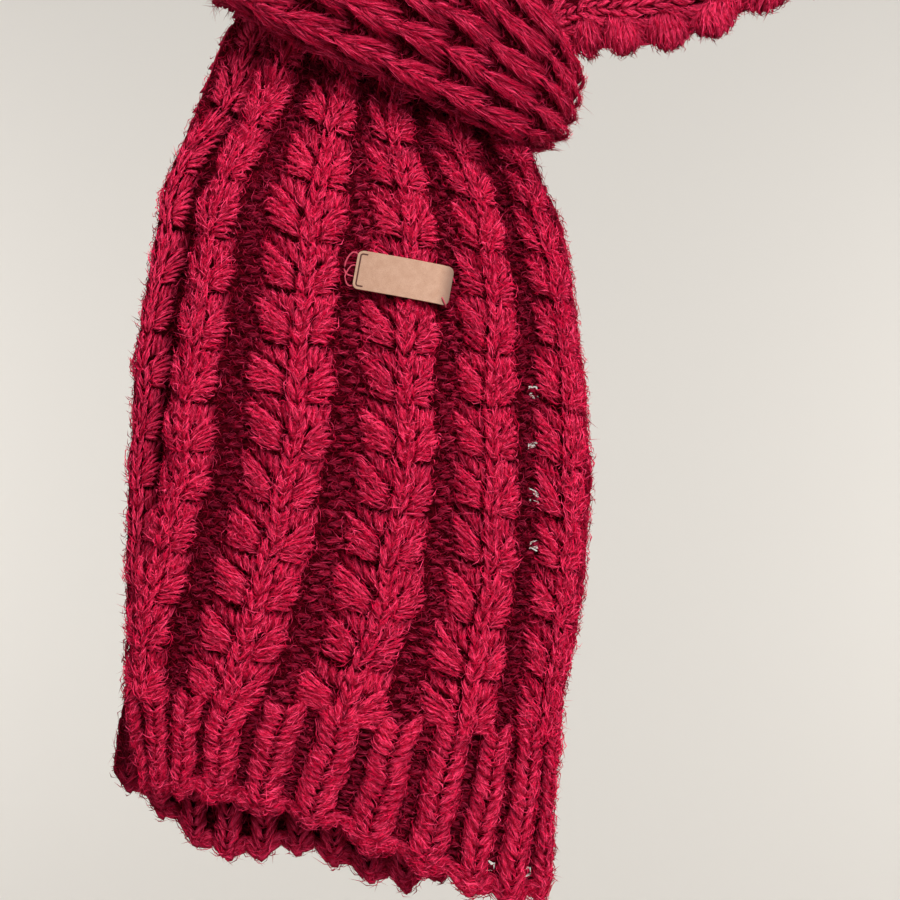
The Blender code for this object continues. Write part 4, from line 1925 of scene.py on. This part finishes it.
    def reverse(self) -> None:
        """Knits the side next to the neck."""
        last, first, top = self.repeats()
        hem_rows = math.floor(HEM_LENGTH / PUFF_PITCH) if self.hem else 0
        layer = Layer(
            Stitch.OPEN_REVERSE if self.open else Stitch.BUNCHED_REVERSE,
            EARS - self.reverse_from,
            first - last + hem_rows,
            (self.pitch * (self.reverse_from + 0.5), top),
            (self.pitch, -PUFF_PITCH),
            self.width,
            17,
        )
        piece = self.add("reverse", self.knit(layer, Side.REVERSE))
        if self.reverse_fibres:
            self.nap(piece, Coat.NAP, self.reverse_fibres, "reverse_nap")

    def knit(self, layer: Layer, side: Side) -> Mesh:
        """Knits a layer flat and lays it on the stretch's form.

        Args:
            layer: The layer.
            side: The side that it is on.

        Returns:
            The laid mesh in metres.
        """
        shift, swell, lean = side.value
        values = {
            "Shapes": self.kit.stitches[layer.stitch],
            "Last shape": VARIANTS - 1,
            "Columns": layer.columns,
            "Stitch count": layer.columns * layer.rows,
            "First stitch": (*layer.first, 0.0),
            "Pitch": (*layer.pitch, 0.0),
            "Shift": shift,
            "Swell": swell,
            "Lean": math.radians(lean),
            "Seed": self.seed * 31 + layer.number,
            "Material": self.kit.yarn,
        }
        mesh = grown(bpy.data.meshes.new("empty"), self.kit.knitting, values, layer.stitch.name)
        flat = read(mesh, "position", 3)
        up = np.empty(len(mesh.vertices) * 3, np.float32)
        mesh.vertex_normals.foreach_get("vector", up)
        up = up.reshape(-1, 3)[:, 2]
        if self.open and side is Side.RIBBED:
            whole = 13.0 if self.show is Show.EDGE else 6.0
            flat[:, 2] *= 0.25 + 0.75 * ramp(-1.0, whole, flat[:, 0])
        laid = self.drape.lay(flat, layer.width)
        ahead = self.drape.lay(flat + read(mesh, "run", 3) * RUN_STEP, layer.width)
        write(mesh, "position", laid)
        write(mesh, "run", unit(ahead - laid))
        # The attribute height carries the painted shade.
        write(mesh, "height", self.light(flat, layer.width, side))
        write(mesh, "nap", self.growth(flat, up, layer.width, side))
        return mesh

    def light(self, flat: np.ndarray, width: float, side: Side) -> np.ndarray:
        """How far out of the painted shade each point of a layer lies.

        Args:
            flat: The points in the flat knitting.
            width: The width that the layer was made at.
            side: The side that it is on.

        Returns:
            The attribute height, which carries the painted shade, for each point.
        """
        x, along = flat[:, 0], -flat[:, 1]
        share, past = x / width, along - self.strand.length
        ribbed = side is Side.RIBBED
        height = np.full(len(flat), SHADE_STOPS[-1])
        # Painted shade by depth on the ribbed side: the lower a point lies, the darker, but the rims stay
        # lighter.
        if ribbed:
            rim = 1 - ramp(1.0, 5.0, np.minimum(x, width - x))
            if self.hem:
                rim = np.maximum(rim, ramp(-5.0, -1.5, past))
            height = np.maximum(np.clip(flat[:, 2] / EAR_TOP, 0, 1), self.RIM_LIGHT * rim)
        # The stretch's own range of painted shade.
        height = self.shade[0] + self.shade[1] * height
        # Painted shade on the hem.
        if ribbed and self.hem:
            height = height * (1 - self.HEM_LOSS * ramp(-HEM_LENGTH - 5, -HEM_LENGTH + 5, past))
        # Painted shadow of the fold just below where it hides the stretch, lower towards the right.
        if self.hidden_above:
            edge = self.hidden_above - 4 + 52 * np.clip(share - 0.25, 0, 0.55)
            height = height * (1 - self.FOLD_LOSS * (1 - ramp(0, 40, along - edge)))
        # Painted shade in the valleys between the ribs, deeper in the outer valleys, and on the first rib.
        if ribbed and self.show is Show.OPEN:
            rib = x / EAR_PITCH + 0.07
            outer = np.isin(np.round(rib), (1, EARS - 1))
            valley = 1 - ramp(0.04, 0.17, np.abs(rib - np.round(rib)) - 0.05 * outer)
            valley = valley * ramp(HEM_LENGTH - 2, HEM_LENGTH + 6, -past)
            height = height * (1 - valley * np.where(outer, *self.VALLEY_LOSS))
            height = height * (1 - self.FIRST_RIB_LOSS * (1 - ramp(0.7, 1.0, rib)))
        # Painted shadow of the front end over the back end right of its first ear, and a little painted shade
        # on its hem.
        if ribbed and self.show is Show.EDGE:
            above = 1 - ramp(-HEM_LENGTH - 20, -HEM_LENGTH, past)
            height = height * (1 - 0.6 * above * ramp(0.1, 0.19, share)) * (0.88 + 0.12 * above)
        return height

    def growth(self, flat: np.ndarray, up: np.ndarray, width: float, side: Side) -> np.ndarray:
        """How thickly fibres grow at each point of a layer.

        Args:
            flat: The points in the flat knitting.
            up: How far each one's normal points out of the ribbed side.
            width: The width that the layer was made at.
            side: The side that it is on.

        Returns:
            A number from 0 to 1 for each point.
        """
        share, along = flat[:, 0] / width, -flat[:, 1]
        if side is Side.REVERSE:
            nap = np.clip(-up, 0, 1)
        else:
            height = np.clip(flat[:, 2] / EAR_TOP, 0, 1)
            nap = np.clip(up - 0.05, 0, 1) ** 1.4 * (0.7 + 0.3 * ramp(0.25, 0.7, height))
        nap = nap * self.below_fold(flat)
        if self.nap_from:
            place = self.strand.place(self.nap_from)
            low = ramp(0.45, 0.6, share) * ramp(place - 30, place, along)
            nap = np.maximum(nap, low * ramp(0.97, 1.0, share)) * (0.04 + 0.96 * low)
        if self.show is Show.EDGE and side is Side.RIBBED:
            hem = ramp(-46, -38, along - self.strand.length)
            nap = nap * np.maximum(1 - ramp(0.24, 0.3, share), hem)
        return nap

    def nap(self, yarn: Object, coat: Coat, count: int, name: str) -> None:
        """Brushes fibres up over yarn.

        Args:
            yarn: The stitches or the ground.
            coat: How the fibres lie.
            count: How many fibres, roughly.
            name: The new piece's name in the stretch.
        """
        mesh = yarn.data
        nap = read(mesh, "nap", 1)[:, 0]
        mesh.calc_loop_triangles()
        corners = np.empty(len(mesh.loop_triangles) * 3, np.int32)
        mesh.loop_triangles.foreach_get("vertices", corners)
        areas = np.empty(len(mesh.loop_triangles), np.float32)
        mesh.loop_triangles.foreach_get("area", areas)
        weight = float((nap[corners.reshape(-1, 3)].mean(axis=1) * areas).sum())
        fibres = self.kit.curls if coat is Coat.CURLS else self.kit.fibres
        scatter, smallest, largest, number = coat.value
        values = {
            "Shapes": fibres,
            "Last shape": len(fibres.objects) - 1,
            "Fibres per square metre": count / weight,
            "Scatter": tuple(math.radians(turn) for turn in scatter),
            "Smallest": smallest,
            "Largest": largest,
            "Seed": self.seed * 7 + number,
            "Material": self.kit.nap,
        }
        made = grown(mesh.copy(), self.kit.napping, values, f"{self.node}_{name}")
        for spare in ("nap", "run", "yarn"):
            if spare in made.attributes:
                made.attributes.remove(made.attributes[spare])
        self.add(name, made)


@dataclass(frozen=True)
class Label:
    """A small bare leather label with rounded corners, whose right end curls back."""

    size: tuple[float, float, float] = (28.6, 11.4, 1.2)
    corner: float = 1.7
    middle: tuple[float, float] = (-69.6, -136.4)
    tilt: float = math.radians(-10.4)
    curl: float = 0.010
    end_curl: float = 0.11
    bend: float = 9.5
    corner_steps: int = 5
    columns: int = 22
    rows: int = 8
    bevel: float = 0.2
    thread: float = 0.5

    def build(self) -> None:
        """Makes the label and its threads, and ties them to the frame."""
        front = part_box("label")[0].y / MM
        half = (self.size[0] / 2, self.size[1] / 2)
        mesh = self.plate(front)
        mesh.materials.append(TannedLeather("tan leather", half, self.corner).make())
        piece = new_object("label_leather", mesh)
        bevel = piece.modifiers.new("edges", "BEVEL")
        bevel.width = self.bevel * MM
        bevel.segments = 2
        bevel.limit_method = "ANGLE"
        bevel.angle_limit = math.radians(50)
        threads = self.threads(front)
        for made, slot in ((piece, LEATHER_SLOT), (threads, WOOL_SLOT)):
            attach(made, BODY)
            report(made)
        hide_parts("label")

    def outline(self) -> list[tuple[float, float]]:
        """Places along the label and its half height at each, in mm, left to right."""
        half, tall = self.size[0] / 2, self.size[1] / 2
        turns = np.linspace(0.15, 1, self.corner_steps) * math.pi / 2
        corner = [
            (-half + self.corner * (1 - math.sin(turn)), tall - self.corner * (1 - math.cos(turn)))
            for turn in reversed(turns)
        ]
        corner.append((-half + self.corner, tall))
        inner = np.linspace(-half + self.corner, half - self.corner, self.columns)[1:-1]
        return corner + [(x, tall) for x in inner] + [(-x, z) for x, z in reversed(corner)]

    def plate(self, front: float) -> Mesh:
        """The plate, curled and turned into place.

        Args:
            front: The y of its foremost point, in mm.

        Returns:
            The mesh in metres, with a UV map in mm from its middle.
        """
        flat = [
            (x, tall * (2 * row / (self.rows - 1) - 1), depth)
            for depth in (0.0, self.size[2])
            for x, tall in self.outline()
            for row in range(self.rows)
        ]
        lines, rows = len(self.outline()), self.rows
        sheet = lines * rows
        faces = []
        for line in range(lines - 1):
            for row in range(rows - 1):
                a = line * rows + row
                faces.append((a, a + rows, a + rows + 1, a + 1))
                faces.append(tuple(sheet + k for k in (a, a + 1, a + rows + 1, a + rows)))
        rim = [line * rows for line in range(lines)]
        rim += [(lines - 1) * rows + row for row in range(1, rows)]
        rim += [line * rows + rows - 1 for line in range(lines - 2, -1, -1)]
        rim += list(range(rows - 2, 0, -1))
        for here, there in zip(rim, rim[1:] + rim[:1]):
            faces.append((here, here + sheet, there + sheet, there))
        mesh = bpy.data.meshes.new("label_leather")
        mesh.from_pydata([self.place(*point, front) for point in flat], [], faces)
        map_flat(mesh, "leather", np.array(flat))
        form = bmesh.new()
        form.from_mesh(mesh)
        bmesh.ops.recalc_face_normals(form, faces=form.faces)
        form.to_mesh(mesh)
        form.free()
        mesh.shade_smooth()
        mesh.set_sharp_from_angle(angle=math.radians(40))
        return mesh

    def threads(self, front: float) -> Object:
        """The stitch in the lower right corner and the loose loops at the left edge.

        Args:
            front: The y of the label's foremost point, in mm.

        Returns:
            The threads' object.
        """
        half, tall, thick = self.size[0] / 2, self.size[1] / 2, self.size[2]
        above = thick + 0.4
        corner = ((-0.6, 0.9, thick), (-0.3, 0.3, -0.3), (0.9, -1.4, -0.2), (1.1, -1.9, thick))
        upper = ((1.0, 4.2, thick), (-1.6, 4.8, 0.4), (-3.2, 1.6, 0.2), (-2.6, -1.6, 0.6), (0.6, -2.2, above))
        lower = ((1.0, 1.2, thick), (-1.4, 0.8, 0.9), (-2.6, -2.6, 0.4), (-1.2, -5.0, 0.8), (1.0, -4.4, above))
        skein = Skein(5, np.random.default_rng(9))
        for left, low, run in ((half - 1.6, -tall + 1.5, corner), (-half, 0, upper), (-half, 0, lower)):
            keys = [self.place(left + x, low + z, depth, front) for x, z, depth in run]
            skein.curve([np.array(key) / MM for key in keys], 13, self.thread)
        mesh = skein.mesh("label_threads")
        mesh.transform(Matrix.Scale(MM, 4))
        mesh.materials.append(PlainFinish("label thread", (0.50, 0.06, 0.10), 0.6, 0.1).make())
        return new_object("label_threads", mesh)

    def place(self, x: float, z: float, depth: float, front: float) -> Point:
        """A point of the label in metres.

        Args:
            x: Its place along the label.
            z: Its place up the label.
            depth: How far it lies behind the face.
            front: The y of the label's foremost point.

        Returns:
            The point.
        """
        turned_x = x * math.cos(self.tilt) - z * math.sin(self.tilt)
        turned_z = x * math.sin(self.tilt) + z * math.cos(self.tilt)
        back = self.curl * x * x + self.end_curl * max(0.0, x - self.bend) ** 2
        placed = (self.middle[0] + turned_x, front + depth + back, self.middle[1] + turned_z)
        return tuple(value * MM for value in placed)


# --- The studio ---


@dataclass(frozen=True)
class Studio:
    """The camera, the lights, the floor and the backdrop."""

    aim: Point = (-0.0559, -0.110, -0.1868)
    frame_width: float = 0.2647
    lens: float = 90.0
    sensor: float = 36.0
    floor: float = -1.4
    wall: float = 2.6
    sweep: tuple[float, float, float] = (18.0, 4.0, 4.0)
    bend: float = 0.4
    bend_steps: int = 12
    cream: Colour = (0.765, 0.74, 0.705)
    sky: float = 0.42

    def build(self) -> None:
        """Makes the studio."""
        self.camera()
        self.backdrop()
        self.lights()

    def camera(self) -> None:
        """Sets the camera up in front of the hanging ends."""
        data = bpy.data.cameras.new("camera")
        data.lens = self.lens
        data.sensor_width = self.sensor
        data.clip_start = 0.01
        data.clip_end = 20.0
        camera = new_object("camera", data)
        distance = self.frame_width * self.lens / self.sensor
        camera.location = Vector(self.aim) + Vector((0.0, -distance, 0.0))
        camera.rotation_euler = (math.pi / 2, 0.0, 0.0)
        bpy.context.scene.camera = camera

    def backdrop(self) -> None:
        """Makes the floor and the wall as one smooth sweep."""
        width, depth, height = self.sweep
        profile = [(-depth, self.floor), (self.wall - self.bend, self.floor)]
        for step in range(1, self.bend_steps + 1):
            turn = math.pi / 2 * step / self.bend_steps
            out, up = self.bend * math.sin(turn), self.bend * (1 - math.cos(turn))
            profile.append((self.wall - self.bend + out, self.floor + up))
        profile.append((self.wall, self.floor + height))
        count = len(profile)
        points = [(x, y, z) for x in (-width / 2, width / 2) for y, z in profile]
        faces = [(k, k + count, k + count + 1, k + 1) for k in range(count - 1)]
        mesh = bpy.data.meshes.new("backdrop")
        mesh.from_pydata(points, [], faces)
        mesh.shade_smooth()
        mesh.materials.append(PlainFinish("pale cream", self.cream).make())
        new_object("backdrop", mesh)

    def lights(self) -> None:
        """Lights the scarf softly from the upper left and the front."""
        self.light("key", (0.35, -1.2, 0.75), 0.7, 28.5, (1.0, 0.985, 0.96))
        for side, x, power in (("left", -1.4, 8.0), ("right", 1.4, 9.5)):
            name, target = f"{side} wall wash", (0.0, self.wall, -0.25)
            self.light(name, (x, 1.8, -0.2), 1.2, power, (1.0, 0.98, 0.955), target)
        self.light("back", (-0.6, 1.3, 0.9), 1.0, 7.0, (1.0, 0.99, 0.97), (0.0, 0.0, 0.0))
        self.light("fill", (0.9, -1.1, 0.0), 1.2, 5.0, (0.97, 0.985, 1.0))
        world = bpy.data.worlds.new("room")
        world.use_nodes = True
        sky = world.node_tree.nodes["Background"]
        sky.inputs["Color"].default_value = (1.0, 0.99, 0.97, 1.0)
        sky.inputs["Strength"].default_value = self.sky
        bpy.context.scene.world = world
        bpy.context.scene.view_settings.view_transform = "Standard"

    def light(
        self,
        name: str,
        place: Point,
        size: float,
        power: float,
        colour: Colour,
        target: Optional[Point] = None,
    ) -> None:
        """Adds a soft light.

        Args:
            name: The light's name.
            place: Where it stands, in metres.
            size: Its width.
            power: Its power in watts.
            colour: Its colour.
            target: Where it points, the scarf if left out.
        """
        data = bpy.data.lights.new(name, "AREA")
        data.size = size
        data.energy = power
        data.color = colour
        lamp = new_object(name, data)
        lamp.location = place
        aim = Vector(target or self.aim) - Vector(place)
        lamp.rotation_euler = aim.to_track_quat("-Z", "Y").to_euler()


def main() -> None:
    """Builds the scarf and the studio."""
    logging.basicConfig(level=logging.INFO, format="%(name)s: %(message)s")
    front = Strand(LOOP_AND_CROSSING + ROUND_THE_NECK + FRONT_END, FRONT_HEM_DROP)
    round_under = inset(LOOP_AND_CROSSING[-1:] + ROUND_THE_NECK + FRONT_END[:1], LAYER)[1:-1]
    back = Strand(BEHIND_THE_ENDS + round_under + BACK_END, BACK_HEM_DROP)
    kit = Workshop()
    side_holes = tuple(Hole(0.8, place) for place in (90.4, 104.4, 118.4, 132.4))
    hem_holes = (Hole(0.818, 5.0), Hole(0.91, 5.0))
    stretches = (
        Stretch(
            "knot_band", front, "loop back", "left", Show.BUNCHED, (62.0, 199.0), "gathered",
            ("tail_front_cloth",), fibres=17000, curls=1500, combed=True, shade=(0.18, 0.44),
            lobes="loop side", thin_below=60.0, seed=1,
        ),
        Stretch(
            "wrap_outer", front, "left", "front seam", Show.PLAIN, (74.0, 529.0), "gathered",
            ("wrap_inner_cloth",), fibres=7000, shade=(0.18, 0.42), puffed=True,
            nap_from="front right", seed=2,
        ),
        Stretch(
            "tail_front", front, "front seam", "front hem", Show.OPEN, (CUT_WIDTH, 248.0), "hung",
            ("knot_band_cloth",), reverse_from=3, fibres=32500, fuzz=12500, curls=10000, hem=True,
            hidden_above=745.0, holes=side_holes + hem_holes, seed=3,
        ),
        Stretch(
            "knot_under", back, "under right", "left", Show.NONE, (62.0, 145.0), "gathered",
            ("tail_back_cloth",), reverse_from=0, seed=4,
        ),
        Stretch(
            "wrap_inner", back, "left", "back seam", Show.NONE, (70.0, 497.0), "gathered",
            reverse_from=0, reverse_fibres=2000, seed=5,
        ),
        Stretch(
            "tail_back", back, "back seam", "back hem", Show.EDGE, (130.0, 250.0), "hung",
            ("knot_under_cloth",), reverse_from=0, fibres=8000, curls=2000, reverse_fibres=2000,
            hem=True, seed=6,
        ),
    )
    for stretch in stretches:
        stretch.build(kit)
    kit.clear()
    Label().build()
    Studio().build()


if __name__ == "__main__":
    main()
